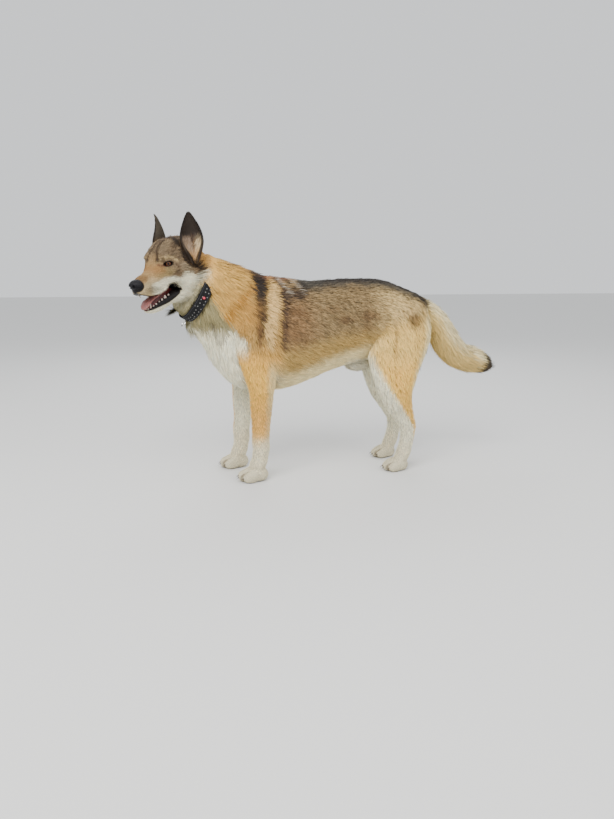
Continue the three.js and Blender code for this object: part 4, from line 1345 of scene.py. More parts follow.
hide_finish, tree = material("hide")
strands = mottled(tree, attribute(tree, "coat", "Color"), attribute(tree, "comb", "Vector"), 1.0, 0.3)
pores = texture(tree, "TexVoronoi", 900.0)
creases = mix(tree, attribute(tree, "bare", "Fac"), strands.outputs["Height"], pores)
gloss = remap(tree, attribute(tree, "wet", "Fac"), 0.0, 1.0, 0.72, 0.28)
ridges = bump(tree, 0.55, 0.0012, creases)
finish(tree, Base_Color=strands, Roughness=gloss, Normal=ridges, Specular_IOR_Level=0.14)
skin.data.materials.append(hide_finish)
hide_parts("head", "lower_jaw", "ear_left", "ear_right", "neck", "trunk", "tail", *LEGS, *PAWS)


# ---- Coat ----
# Thousands of thin, pointed tufts root in the hide and lie along the body over each other. Each is a
# closed three-sided blade. Long hair bends halfway, and the short hair of face and feet is straight.
EDGE_SOFT = 0.9  # how far a long tuft follows the body's curve


def direction(x, y, z):
    """Directions from their three parts, each one number for all the hairs or one for each."""
    return np.stack(np.broadcast_arrays(x, y, z), -1).astype(float)


def towards(way, share, x, y, z):
    """Directions turned towards another one by a share."""
    return way + (direction(x, y, z) - way) * share[:, None]


def lie(points, normals, mixed, head):
    """The way that the hair points: along the back, down the limbs, and back from the nose."""
    along, _, share, _ = trunk_place(points)
    sideways = np.clip(np.abs(normals[:, 1]), 0, 1)
    flow = np.zeros((len(points), 3))
    body = direction(1, 0, -0.12 - 0.45 * sideways)
    body = towards(body, fall(along, -270, -170), 0.75, 0, -0.3 - 0.55 * sideways)
    chest = ramp(-normals[:, 0], 0.2, 0.6) * ramp(-along, 170, 230)
    chest = np.maximum(chest, fall(share, -0.5, 0.1) * ramp(-along, 150, 220))
    body = towards(body, chest, 0.15, 0, -1)
    body = towards(body, ramp(-normals[:, 2], 0.2, 0.7) * ramp(along, -180, -100), 1, 0, -0.05)
    flow += body * share_in(mixed, "trunk", "sheath")[:, None]
    for name in LEGS:
        behind, _, height = leg_local(points, name)
        if "fore" in name:
            back = 0.12 + 0.3 * ramp(behind, 0.2, 0.8)
        else:
            back = 0.1 + (0.25 + 0.2 * ramp(behind, 0.3, 0.8)) * ramp(height, 260, 380)
        flow += direction(back, 0, -1) * share_in(mixed, name)[:, None]
    paws = share_in(mixed, *PAWS)[:, None]
    flow += np.array([-0.8, 0, -0.45]) * paws
    tail = share_in(mixed, "tail")
    on_tail = tail > 0.02
    at = (tail_place(points[on_tail].astype(np.float32))[0] * (TAIL_STEPS - 1)).round().astype(int)
    flow[on_tail] += (TAIL_TANGENTS[at] + (0, 0, -0.12)) * tail[on_tail, None]
    side = np.sign(head[:, 1])
    near = left_half(head)
    a, c = near[:, 0], near[:, 2]
    face = direction(1, side * 0.35, 0.1 + 0.25 * ramp(c, 40, 80))
    jaw = fall(c, lip_line(a) - 16, lip_line(a) - 6)
    face = towards(face, ramp(a, 90, 130) * fall(c, -10, 35), 0.85, side * 0.4, -0.5)  # cheek
    face = towards(face, jaw, 1, side * 0.15, -0.3)
    face = towards(face, ramp(c, 6, 20) * fall(a, 70, 110), 1, side * 0.15, 0.2)  # bridge
    face = towards(face, fall(c, -8, 4) * fall(a, 50, 90) * (1 - jaw), 1, side * 0.2, -0.35)  # muzzle
    out, up, ahead = eye_view(near)
    round_eye = np.hypot(out / 1.3, up)
    apart = fall(round_eye, 12, 24) * (ahead > -6)
    spread = out[:, None] * EYE_OUT + up[:, None] * EYE_UP * 1.3
    spread /= norm(spread, axis=1)[:, None] + 1e-6
    spread[:, 1] *= -side
    face = face + 1.6 * spread * apart[:, None]
    flow += (face @ HEAD_AXES) * share_in(mixed, "head")[:, None]
    flow += (direction(0.15, side * 0.1, 1) @ HEAD_AXES) * share_in(mixed, "ears")[:, None]
    sway = np.stack([ripple(points, 16.0, 0.0), ripple(points, 15.0, 3.0), ripple(points, 17.0, 6.0)], 1)
    clump = np.stack([ripple(points, 2.9, 1.0), ripple(points, 3.1, 4.0), ripple(points, 2.7, 8.0)], 1)
    flow += 0.16 * sway + 0.15 * clump
    flow -= (flow * normals).sum(1)[:, None] * normals
    return flow / (norm(flow, axis=1)[:, None] + 1e-9)


trunk_hair = curve(
    (-430, 40), (-380, 58), (-300, 62), (-220, 56), (-160, 42), (0, 34), (200, 34), (330, 40), (428, 46)
)
foreleg_hair = curve((0, 7), (80, 9), (150, 11), (300, 15), (400, 22), (560, 32))
hindleg_hair = curve((0, 7), (80, 9), (150, 12), (215, 16), (300, 26), (400, 36), (600, 36))
head_hair = curve((0, 3.5), (40, 5.5), (90, 7), (125, 10), (165, 15), (205, 22), (268, 30))
tail_hair = curve((0, 40), (0.15, 60), (0.4, 74), (0.8, 66), (1, 36))


def coat_size(points, mixed, head):
    """Length, height over the skin, and width of the tuft at each point, in millimetres."""
    along, _, share, _ = trunk_place(points)
    length = np.zeros(len(points))
    height = np.zeros(len(points))
    width = np.zeros(len(points))

    def add(weight, long, high, wide):
        for so_far, value in ((length, long), (height, high), (width, wide)):
            so_far += weight * value

    body_width = 2.3 + 1.0 * fall(along, -260, -150)
    low = fall(share, -0.75, -0.3) * ramp(along, -170, -110)
    fold = fall(along + 0.55 * (points[:, 2] - 590), -252, -238)
    mane = ramp(-along, 150, 260) * fold
    add(share_in(mixed, "trunk", "sheath"), trunk_hair(along) * (1 + 0.2 * low),
        trunk_coat(along) * (0.94 + 0.12 * mane - 0.1 * (1 - fold) * ramp(-along, 150, 210)) - 1, body_width)
    for name in LEGS:
        behind, _, z = leg_local(points, name)
        weight = share_in(mixed, name)
        if "fore" in name:
            feather = ramp(behind, 0.3, 0.9) * ramp(z, 150, 330)
            add(weight, foreleg_hair(z) * (1 + 0.5 * feather), foreleg_coat(z) * 0.95 - 0.5 + 3 * feather,
                1.5 + 0.7 * ramp(z, 250, 450))
        else:
            breech = ramp(behind, 0.35, 0.9) * ramp(z, 260, 380)
            add(weight, hindleg_hair(z) * (1 + 0.5 * breech), hindleg_coat(z) * 0.95 - 0.5 + 4 * breech,
                1.5 + 0.8 * ramp(z, 200, 380))
    paws = share_in(mixed, *PAWS)
    add(paws, 7.0, 1.6, 1.3)
    tail = share_in(mixed, "tail")
    on_tail = tail > 0.02
    at = np.zeros(len(points), np.float32)
    at[on_tail] = tail_place(points[on_tail].astype(np.float32))[0]
    add(tail, tail_hair(at), tail_thickness(at) * (1 - TAIL_FLESH) * 0.86, 3.2)
    near = left_half(head)
    a, c = near[:, 0], near[:, 2]
    ruff = ramp(a, 120, 190) * fall(c, 0, 50)
    jaw = fall(c, lip_line(a) - 14, lip_line(a) - 4)
    add(share_in(mixed, "head"), head_hair(a) * (1 + 0.5 * ruff + 0.4 * jaw * ramp(a, 60, 120)),
        head_coat(a) * (0.95 + 0.35 * ruff), 1.05 + 1.3 * ramp(a, 110, 210))
    share_up = ear_place(near)[0]
    add(share_in(mixed, "ears"), 8.0 * (1 - 0.4 * ramp(share_up, 0.6, 1)), 1.2, 1.2)
    gap = np.clip(lid_gap(near), 0, None)
    facing = eye_view(near)[2] > -4
    short = np.where(facing, np.clip((gap + 1.5) / 22, 0.12, 1), 1)
    length = length * np.where(share_in(mixed, "head") > 0.5, np.maximum(short, 0.2), 1)
    height = height * np.where(facing & (share_in(mixed, "head") > 0.5), np.clip(gap / 14, 0.1, 1), 1)
    return length, np.maximum(height, 0.4), width


def tuck(points):
    """Takes hair that would cross the strap to the inside of it, except where the mane covers it."""
    away = points - COLLAR_MIDDLE
    up, side, ahead = away @ COLLAR_UP, away @ COLLAR_SIDE, away @ COLLAR_FACE
    ring = np.hypot(up / COLLAR_HIGH, side / COLLAR_WIDE)
    near = fall(np.abs(ahead), STRAP_WIDE / 2 + 2, STRAP_WIDE / 2 + 14)
    covered = ramp(up + 10 * ripple(points, 9.0), HIDDEN_ABOVE - 6, HIDDEN_ABOVE + 10)
    squeeze = np.where(ring > 0.965, 0.965 / np.maximum(ring, 1e-6), 1)
    lift = np.where(ring < 1.17, 1.17 / np.maximum(ring, 0.5), 1)
    scale = 1 + (squeeze - 1) * near * (1 - covered) + (lift - 1) * near * covered
    moved = up * scale, side * scale
    return points + ((moved[0] - up)[:, None] * COLLAR_UP + (moved[1] - side)[:, None] * COLLAR_SIDE)


def stop_at_strap(roots, way, length):
    """Shortens the hair that would reach over the strap, so that it ends under it."""
    start = (roots - COLLAR_MIDDLE) @ COLLAR_FACE
    reach = (way @ COLLAR_FACE) * length
    near = norm(roots - COLLAR_MIDDLE, axis=1) < 150
    uncovered = (roots - COLLAR_MIDDLE) @ COLLAR_UP + 10 * ripple(roots, 9.0) < HIDDEN_ABOVE
    crossing = near & uncovered & (start * (start + reach) < 0)
    share = np.clip(-start / np.where(np.abs(reach) < 1e-6, 1e-6, reach), 0.2, 1)
    return np.where(crossing, length * share, length)


def under_strap(points):
    """1 where the strap lies on the hair, so that no tuft starts there."""
    away = points - COLLAR_MIDDLE
    up, ahead = away @ COLLAR_UP, np.abs(away @ COLLAR_FACE)
    on_neck = norm(away, axis=1) < 130
    return (ahead < STRAP_WIDE / 2 - 3) & (up < HIDDEN_ABOVE) & on_neck


hide_edges = hide_points[hide_triangles]
hide_areas = norm(
    np.cross(hide_edges[:, 1] - hide_edges[:, 0], hide_edges[:, 2] - hide_edges[:, 0]), axis=1
) / 2
hair_free = np.maximum(hide_bare, under_strap(hide_points))
nose_reach = ball(left_half(hide_head), (16, -4, -1), (19, 19, 17))
hair_free = np.maximum(hair_free, (nose_reach < 0.5) & (share_in(hide_shares, "head") > 0.5))
ear_share, ear_angle, ear_reach, _ = ear_place(left_half(hide_head))
ear_inner = ear_cup(ear_share, ear_reach) & (np.abs(ear_angle) < 2)


def scatter(density, count, seed):
    """Roots spread evenly over the hide, more of them where density is higher."""
    rng = np.random.default_rng(seed)
    weight = density[hide_triangles].mean(1) * (1 - hair_free[hide_triangles].max(1)) * hide_areas
    total = np.cumsum(weight)
    pick = np.searchsorted(total, (np.arange(count) + rng.random(count)) / count * total[-1])
    pick = np.clip(pick, 0, len(total) - 1)
    a, b = rng.random((2, count))
    over = a + b > 1
    a, b = np.where(over, 1 - a, a), np.where(over, 1 - b, b)
    mix = np.stack([1 - a - b, a, b], 1)
    corners = hide_triangles[pick]

    def blend_of(values):
        return (values[corners] * mix[:, :, None]).sum(1)

    normals = blend_of(hide_normals)
    normals /= norm(normals, axis=1)[:, None] + 1e-9
    mixed = blend_of(hide_shares)
    return blend_of(hide_points), normals, mixed / mixed.sum(1)[:, None], rng


# A tuft's faces, the ring that each of its points is in, and the side that each leans to.
LONG_TUFT = (
    [(0, 1, 4), (0, 4, 3), (1, 2, 5), (1, 5, 4), (2, 0, 3), (2, 3, 5), (3, 4, 6), (4, 5, 6), (5, 3, 6),
     (0, 2, 1)],
    [0, 0, 0, 1, 1, 1, 2],
    [-1, 1, 0, -1, 1, 0, 0],
)
SHORT_TUFT = ([(0, 1, 3), (1, 2, 3), (2, 0, 3), (0, 2, 1)], [0, 0, 0, 2], [-1, 1, 0, 0])

fur_finish, tree = material("fur")
on_tuft = node(tree, "TexCoord", {}).outputs["Object"]
strands = mottled(tree, attribute(tree, "coat", "Color"), on_tuft, 420.0, 0.16)
ridges = bump(tree, 0.3, 0.0006, strands.outputs["Height"])
finish(tree, Base_Color=strands, Normal=ridges, Roughness=0.62, Specular_IOR_Level=0.18)


# The hollow between the turned jaw and the throat, on the right, where the hair is pressed flat.
THROAT_HOLLOW = np.array([-491.0, 42.0, 579.0])

LENGTH_SPREAD = 0.22  # how unlike their neighbours single tufts are, as shares of their own measures
HEIGHT_SPREAD = 0.14
WAY_SPREAD = 0.09
STRAY_SHARE = 0.06  # the share of tufts that stand a quarter higher
ROOT_DEPTH = 1.2


def tufts(name, density, count, seed, chart, bent=True, longer=1.0):
    """One piece of coat: blades from root to tip, each a root ring, a middle ring and a point."""
    roots, normals, mixed, rng = scatter(density, count, seed)
    head = to_head(roots)
    way = lie(roots, normals, mixed, head)
    length, height, width = coat_size(roots, mixed, head)
    pressed = fall(norm(roots - THROAT_HOLLOW, axis=1), 36, 66)
    length = length * (1 - 0.6 * pressed)
    height = height * (1 - 0.9 * pressed)
    lock = ripple(roots, 3.3, 2.0)
    length = length * longer * (1 + LENGTH_SPREAD * (rng.random(count) - 0.5) * 2)
    stray = rng.random(count) < STRAY_SHARE
    height = height * (1 + 0.16 * lock + HEIGHT_SPREAD * (rng.random(count) - 0.5) * 2 + 0.25 * stray)
    width = width * (0.8 + 0.4 * rng.random(count))
    across = np.cross(normals, way)
    way = way + across * rng.normal(0, WAY_SPREAD, count)[:, None]
    length = stop_at_strap(roots, way, length)
    lift = np.minimum(height / length, 0.9)
    level = np.sqrt(1 - lift**2)
    tip = roots + way * (length * level)[:, None]
    most = height + 0.06 * length  # a tip inside a fold stays there, rather than standing far out of it
    tip += normals * np.minimum(height - hide(tip) * EDGE_SOFT, most)[:, None]
    if bent:
        middle = roots + way * (length * level * 0.5)[:, None]
        middle += normals * np.minimum(0.8 * height - hide(middle) * EDGE_SOFT, most * 0.8)[:, None]
        middle = tuck(middle)
    tip = tuck(tip)
    turn = rng.uniform(-0.5, 0.5, count)[:, None]
    edge = across * np.cos(turn) + normals * np.sin(turn)
    rise = normals * np.cos(turn) - across * np.sin(turn)
    half = (width / 2)[:, None]
    base = roots - normals * ROOT_DEPTH
    rings = [base - edge * half * 0.8, base + edge * half * 0.8, base + rise * half * 0.9]
    if bent:
        rings += [middle - edge * half, middle + edge * half, middle + rise * half * 0.8]
    pattern, levels, lean = (np.array(values) for values in (LONG_TUFT if bent else SHORT_TUFT))
    each = len(levels)
    points = np.stack([*rings, tip], 1).reshape(-1, 3)
    points[:, 2] = np.maximum(points[:, 2], 0.3)
    faces = (np.arange(count)[:, None, None] * each + pattern[None]).reshape(-1, 3)
    made = piece(name, points, faces)

    seen = roots + way * (length * 0.62)[:, None] + rng.normal(0, 3.2 if bent else 1.1, (count, 3))
    tone, tips = markings(seen, mixed)[:2]
    stretched = np.stack([roots[:, 0] * 0.35, roots[:, 1], roots[:, 2]], 1)
    patchy = ripple(stretched, 2.3, 5.0) * 0.7 + ripple(roots, 6.0, 1.0) * 0.3
    dark_tip = rng.random(count) * 0.62 + (patchy * 0.5 + 0.5) * 0.38 < tips
    pale = np.clip(tone.mean(1) / 0.6, 0, 1)[:, None]
    # Each tuft's brightness swings: partly tone that differs at random from tuft to tuft, and partly painted
    # shade between clumps of hair.
    uneven = (0.24 + 0.42 * tips) * patchy + 0.1 * ripple(roots, 13.0, 8.0) + rng.normal(0, 0.13, count)
    tone_and_clump_shade = 1 + uneven[:, None] * (1 - 0.3 * pale)
    warm = rng.normal(0, 0.025, count)[:, None] * np.array([1, 0, -1.3])
    tone = tone * tone_and_clump_shade * (1 + warm)
    tip_tone = np.where(dark_tip[:, None], tone * 0.22 + BLACK * 0.5, tone * (1.1 + 0.3 * tips[:, None]))
    middle_tone = np.where(dark_tip[:, None], tone * 1.12, tone)
    # Painted shade: each tuft's root ring is darkened to 0.5 to 0.7 of its tone, as the hair lying over it
    # would shade it.
    root_shaded_levels = np.stack([tone * (0.5 + 0.2 * pale), middle_tone, tip_tone], 1)
    add_colour(made.data, "coat", root_shaded_levels[:, levels].reshape(-1, 3))

    u, v = unwrap(roots, head, chart)
    small = 0.0015
    flat = np.stack([np.clip(u, 0.01, 0.99), np.clip(v, 0.01, 0.99)], 1)[:, None, :].repeat(each, 1)
    flat[:, :, 0] += small * lean
    flat[:, :, 1] += (levels - 1) * small
    add_layout(made.data, flat.reshape(-1, 2)[faces.ravel()])

    facing = normals[:, None, :] * 0.8 + across[:, None, :] * (0.6 * lean)[None, :, None]
    facing = facing.reshape(-1, 3)
    facing /= norm(facing, axis=1)[:, None]
    made.data.normals_split_custom_set_from_vertices(facing)
    made.data.materials.append(fur_finish)
    return made


hide_along, hide_across = trunk_place(hide_points)[:2]
left = hide_across < 0
body_share = share_in(hide_shares, "trunk", "sheath")
neck_part = fall(hide_along, -205, -195)
head_part = share_in(hide_shares, "head")
face_size = ramp(hide_head[:, 0], 110, 200) * fall(hide_head[:, 2], 10, 60)

tufts("coat_neck_left", body_share * neck_part * left, 14500, 1, "trunk_left")
tufts("coat_neck_right", body_share * neck_part * ~left, 14500, 2, "trunk_right")
tufts("coat_trunk_left", body_share * (1 - neck_part) * left, 18500, 3, "trunk_left")
tufts("coat_trunk_right", body_share * (1 - neck_part) * ~left, 18500, 4, "trunk_right")
for seed, name in enumerate(LEGS, 5):
    tufts("coat_" + name, share_in(hide_shares, name), 8000 if "fore" in name else 10000, seed, name)
tufts("coat_tail", share_in(hide_shares, "tail"), 12500, 9, "tail")
for seed, name in enumerate(PAWS, 20):
    tufts("coat_" + name, share_in(hide_shares, name), 4000, seed, name, bent=False)
face_part = head_part * (1.6 - face_size - 0.3 * ramp(hide_head[:, 0], 200, 230))
tufts("coat_face", face_part, 30000, 30, "head", bent=False)
cheek_part = head_part * (0.06 + face_size + 0.6 * ramp(hide_head[:, 0], 190, 225))
tufts("coat_cheeks", cheek_part, 13000, 31, "head")
ear_part = share_in(hide_shares, "ears")
tufts("coat_ears", ear_part * (1 - 0.45 * ear_inner), 14000, 32, "ears", bent=False)
from_rim = ramp(np.radians(ear_wrap(ear_share)) - np.abs(ear_angle), 0.4, 0.7)
ear_low = ear_inner * from_rim * fall(ear_share, 0.24, 0.4) * ramp(-ear_angle, -0.1, 0.5)
ear_low = np.maximum(ear_low, ear_inner * from_rim * fall(ear_share, 0.0, 0.16))
tufts("coat_ear_tufts", ear_part * ear_low, 2600, 33, "ears", longer=2.6)


# ---- Eyes ----
# A ball with the cornea's bulge in front of it, an amber iris with fine rays and a round pupil.
LIMBUS = np.radians(41)  # half the angle that the iris takes of the ball
LIMBUS_BULGE = 1.1


def grid_faces(rows, columns, closed=True):
    """Quads between the points of a grid, row by row. closed joins its last column to its first."""
    r = np.arange(rows - 1)[:, None]
    c = np.arange(columns if closed else columns - 1)[None]
    n = (c + 1) % columns
    corners = [r * columns + c, r * columns + n, (r + 1) * columns + n, (r + 1) * columns + c]
    return np.stack([q.ravel() for q in np.broadcast_arrays(*corners)], 1)


def lay_out(mesh, u, v):
    """The flat layout of a mesh, from one pair for each point."""
    add_layout(mesh, np.stack([u, v], 1)[read(mesh.loops, "vertex_index", 1, np.int32)])


PUPIL = (0.004, 0.003, 0.003)
IRIS_BANDS = [
    (0.0, PUPIL), (0.33, PUPIL), (0.38, (0.035, 0.012, 0.006)), (0.6, (0.12, 0.042, 0.016)),
    (0.8, (0.085, 0.026, 0.01)), (0.94, (0.03, 0.012, 0.008)), (1.0, (0.02, 0.01, 0.008)),
]
eye_finish, tree = material("eye")
bands = node(tree, "ValToRGB", {0: attribute(tree, "ring", "Fac")})
elements = bands.color_ramp.elements
while len(elements) < len(IRIS_BANDS):
    elements.new(0.5)
for element, (at, tone) in zip(elements, IRIS_BANDS):
    element.position = at
    element.color = (*tone, 1)
iris = mottled(tree, bands, attribute(tree, "rays", "Vector"), 1.0, 0.5)
finish(tree, Base_Color=iris, Roughness=0.22, Coat_Weight=0.16, Specular_IOR_Level=0.12, Coat_Roughness=0.02)

for name, mirror in (("eye_left", 1), ("eye_right", -1)):
    rings = np.concatenate([np.linspace(0, 0.9, 40), np.linspace(0.95, np.pi, 24)])
    spokes = np.linspace(0, 2 * np.pi, 72, endpoint=False)
    tilt, turn = (a.ravel() for a in np.meshgrid(rings, spokes, indexing="ij"))
    bulge = LIMBUS_BULGE * np.clip(1 - (tilt / LIMBUS) ** 2, 0, 1)
    radius = EYE_RADIUS - 0.35 + bulge
    away = (np.cos(tilt)[:, None] * EYE_LOOK + (np.sin(tilt) * np.cos(turn))[:, None] * EYE_OUT
            + (np.sin(tilt) * np.sin(turn))[:, None] * EYE_UP)
    points = (EYE_PLACE + away * radius[:, None]) * (1, mirror, 1)
    faces = grid_faces(len(rings), len(spokes))
    eyeball = piece(name + "_ball", from_head(points), faces if mirror < 0 else faces[:, ::-1])
    share = tilt / LIMBUS
    add_value(eyeball.data, "ring", share)
    add_place(eyeball.data, "rays", np.stack([np.cos(turn) * 9, np.sin(turn) * 9, share * 1.5], 1))
    flat = 0.5 + (tilt / np.pi * 0.49)[:, None] * np.stack([np.cos(turn), np.sin(turn)], 1)
    lay_out(eyeball.data, *flat.T)
    eyeball.data.materials.append(eye_finish)
    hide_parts(name)


# ---- Nose ----
# The moist black leather of the nose, with two comma-shaped nostrils and the groove between them.
def nose_pad(points):
    head = to_head(points).astype(np.float32)
    near = left_half(head)
    body = ball(near, (13, -3, 1), (13.5, 16, 13))
    body = melt(body, ball(near, (21, -15.5, 0), (11, 9.5, 10.5), -0.2), 6)
    body = melt(body, ball(near, (23, -3, 8), (15, 14, 8.5)), 5)
    body = melt(body, ball(near, (13, 0, -14), (8, 6.5, 10)), 5)
    body = carve(body, ball(near, (1.5, -8.5, 0), (6.5, 3.8, 4.4), 0.3), 2)
    slit = np.array([(4, -12, -2), (11, -18, -4), (19, -24, -3), (25, -26.5, 0)], float)
    body = carve(body, chain(near, slit, 1.7), 2)
    groove = np.array([(-1, 0, 4), (-0.5, 0, -5), (4, 0, -14), (8, 0, -24)], float)
    return carve(body, chain(near, groove, 0.9), 1.6)


nose_low = from_head([(-4, 0, 0)])[0] - 45
nose_points, nose_faces = polygonise(nose_pad, nose_low, nose_low + 100, 1.0)
nose = piece("nose_leather", nose_points, nose_faces)
nose_head = to_head(nose_points)
round_nose = np.arctan2(nose_head[:, 1], nose_head[:, 2]) / (2 * np.pi) * 0.9 + 0.5
lay_out(nose.data, (nose_head[:, 0] + 5) / 60, round_nose)
nose_finish, tree = material("nose_leather")
pebbles = texture(tree, "TexVoronoi", 1100.0)
stain = texture(tree, "TexNoise", 160.0, Detail=3.0)
leather = mix(tree, stain, (0.004, 0.004, 0.005, 1), (0.016, 0.015, 0.018, 1))
damp = remap(tree, stain, 0.35, 0.65, 0.3, 0.5)
grain = bump(tree, 0.5, 0.0005, pebbles)
finish(tree, Base_Color=leather, Roughness=damp, Normal=grain, Specular_IOR_Level=0.12)
nose.data.materials.append(nose_finish)
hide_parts("nose")


# ---- Tongue ----
# A soft pink tongue, which lies in the jaw and hangs a little over its front, grooved along the middle.
tongue_middle = curve((22, -75), (27, -73), (35, -67), (46, -60), (62, -53), (90, -46), (128, -37))
tongue_wide = curve((22, 13), (27, 14.5), (34, 17.5), (46, 19), (62, 17), (90, 19), (128, 18))
TONGUE_ROWS = 70
TONGUE_ROUND = 44
along = np.linspace(0, 1, TONGUE_ROWS)[:, None]
turn = np.linspace(0, 2 * np.pi, TONGUE_ROUND, endpoint=False)[None]
place_x = 22.5 + 104 * along
front_end = np.sqrt(1 - (1 - np.clip(along / 0.13, 0, 1)) ** 2)
back_end = np.sqrt(1 - (1 - np.clip((1 - along) / 0.08, 0, 1)) ** 2)
ends = np.maximum(front_end * back_end, 0.02)
wide = tongue_wide(place_x) * ends * np.cos(turn)
groove = 2.6 * np.exp(-((wide / 3.2) ** 2)) * (np.sin(turn) > 0) * np.sin(turn) * front_end
thick = (5.2 - 1.6 * (1 - front_end)) * ends
curl = 0.006 * wide**2 * (1 + np.sin(3 * place_x / 11 + 1) * 0.25)
ripples = 0.35 * np.sin(place_x / 2.7 + wide / 4) * np.clip(np.sin(turn), 0, 1)
up = tongue_middle(place_x) + thick * np.sin(turn) - groove + curl + ripples
tongue_grid = np.stack([place_x + 0 * wide, wide, up], 2).reshape(-1, 3)
tongue = piece("tongue_soft", from_head(tongue_grid), grid_faces(TONGUE_ROWS, TONGUE_ROUND))
lay_out(tongue.data, (along + 0 * turn).ravel(), (turn / (2 * np.pi) + 0 * along).ravel())
tongue_finish, tree = material("tongue")
buds = texture(tree, "TexVoronoi", 1400.0)
flush = texture(tree, "TexNoise", 55.0, Detail=4.0)
meat = mix(tree, flush, (0.2, 0.068, 0.062, 1), (0.33, 0.15, 0.13, 1))
finish(tree, Base_Color=meat, Normal=bump(tree, 0.45, 0.0006, buds), Roughness=0.42, Specular_IOR_Level=0.3,
       Subsurface_Weight=0.15, Subsurface_Scale=0.004)
tongue.data.materials.append(tongue_finish)
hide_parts("tongue")


# ---- Whiskers ----
# Stiff tapering bristles in rows on the lips, and a few over the eyes and on the cheeks.
def gather(name, grids, backwards, rows, columns, cells_across, last_row):
    """One piece of many alike grids, each with a cell of its own in the flat layout. backwards says which
    of them are wound the other way. It gives the share down its grid of each point too."""
    ring = grid_faces(rows, columns)
    faces = [(ring[:, ::-1] if back else ring) + rows * columns * i for i, back in enumerate(backwards)]
    made = piece(name, np.vstack(grids), np.vstack(faces))
    which = np.repeat(np.arange(len(grids)), rows * columns)
    down = np.tile(np.repeat(np.arange(rows) / last_row, columns), len(grids))
    round_it = np.tile(np.tile(np.arange(columns) / columns, rows), len(grids))
    lay_out(made.data, (which % cells_across + 0.1 + 0.8 * down) / cells_across,
            (which // cells_across + 0.1 + 0.8 * round_it) / cells_across)
    return made, down


def rows_and_turn(rows, columns):
    """The shares down a tapering grid, and the angles round it."""
    return np.linspace(0, 1, rows)[:, None], np.linspace(0, 2 * np.pi, columns, endpoint=False)[None]


BRISTLE_ROWS, BRISTLE_SIDES = 9, 4
bristles, bristles_back = [], []
t, turn = rows_and_turn(BRISTLE_ROWS, BRISTLE_SIDES)
dice = np.random.default_rng(77)
for x, z, number, long in WHISKER_ROWS:
    for k in range(number):
        for side in (-1, 1):
            start_x = x + WHISKER_GAP * k + dice.uniform(-1, 1)
            start_z = z + WHISKER_RISE * k + dice.uniform(-1, 1)
            ray = np.stack([np.full(60, start_x), -np.linspace(5, 75, 60), np.full(60, start_z)], 1)
            out_at = 5 + 70 / 59 * np.argmax(head_shape(ray.astype(np.float32)) > 0)
            reach = long * dice.uniform(0.8, 1.15)
            outward = 0.5 + dice.uniform(-0.1, 0.1)
            drop = -0.25 if z < 0 else 0.35
            thin = 0.28 * (1 - t) + 0.03
            px = start_x + reach * (0.8 * t + 0.1 * t**2) + 0 * turn
            py = -out_at + 1.5 - reach * outward * (t - 0.35 * t**2) + thin * np.cos(turn)
            pz = start_z + reach * drop * (t + 0.4 * t**2) + thin * np.sin(turn)
            bristles.append(from_head(np.stack([px, -side * py, pz], 2).reshape(-1, 3)))
            bristles_back.append(side < 0)
whiskers, _ = gather("whiskers", bristles, bristles_back, BRISTLE_ROWS, BRISTLE_SIDES, 8, BRISTLE_ROWS - 1)
bristle, tree = material("bristle")
tone = mix(tree, texture(tree, "TexNoise", 90.0), (0.012, 0.01, 0.009, 1), (0.1, 0.08, 0.06, 1))
finish(tree, Base_Color=tone, Roughness=0.45)
whiskers.data.materials.append(bristle)


# ---- Teeth ----
# Ivory teeth, set in the gums of both jaws: incisors, long curved canines, and the cheek teeth.
# Each is (x, side, root height, length, radius, lean back), and a point at the crown.
UPPER_TEETH = [
    (24, 3, -25, 6, 2.2, 0.1), (25, 7.5, -26, 6.5, 2.4, 0.1), (28, 11.5, -28, 7, 2.6, 0.15),
    (37, 16.5, -30, 14, 3.5, 0.22), (50, 19, -33, 7, 2.8, 0), (61, 21, -33, 9, 4.0, 0),
    (73, 22.5, -32, 9, 4.2, 0), (86, 24.5, -30, 13, 5.4, 0), (100, 28, -27, 10, 5.0, 0),
    (113, 32, -24, 8, 4.4, 0),
]
LOWER_TEETH = [
    (37, 3, -80, 7, 2.2, 0.0), (38, 7.5, -79, 7, 2.4, 0.0), (44, 13, -75, 16, 3.4, 0.3),
    (55, 15.5, -72, 3.8, 2.8, 0), (65, 17.5, -69.5, 5, 3.8, 0), (77, 19.5, -66, 5, 4.4, 0),
    (88, 22, -62, 6.5, 5, 0), (100, 24.5, -58, 10, 6.4, 0), (113, 27.5, -53, 5.5, 4.6, 0),
]


TOOTH_ROWS, TOOTH_SIDES = 9, 12


def tooth(x, side, root, long, radius, lean, down):
    """A cone with a swollen collar: radius falls as the square root of what is left to the point."""
    t, turn = rows_and_turn(TOOTH_ROWS, TOOTH_SIDES)
    narrow = np.where(long > 12, 0.8, 1.0)
    size = radius * np.sqrt(np.clip(1 - t, 0, 1)) * (1 - 0.25 * t * narrow) + 0.03
    flat = 0.72 if radius > 4.5 else 0.9
    px = x + size * np.cos(turn) + lean * long * t**2 * (1 if down else 0.8)
    py = side + size * flat * np.sin(turn)
    pz = root + (-1 if down else 1) * long * t + 0 * turn
    return np.stack([px, py, pz], 2).reshape(-1, 3)


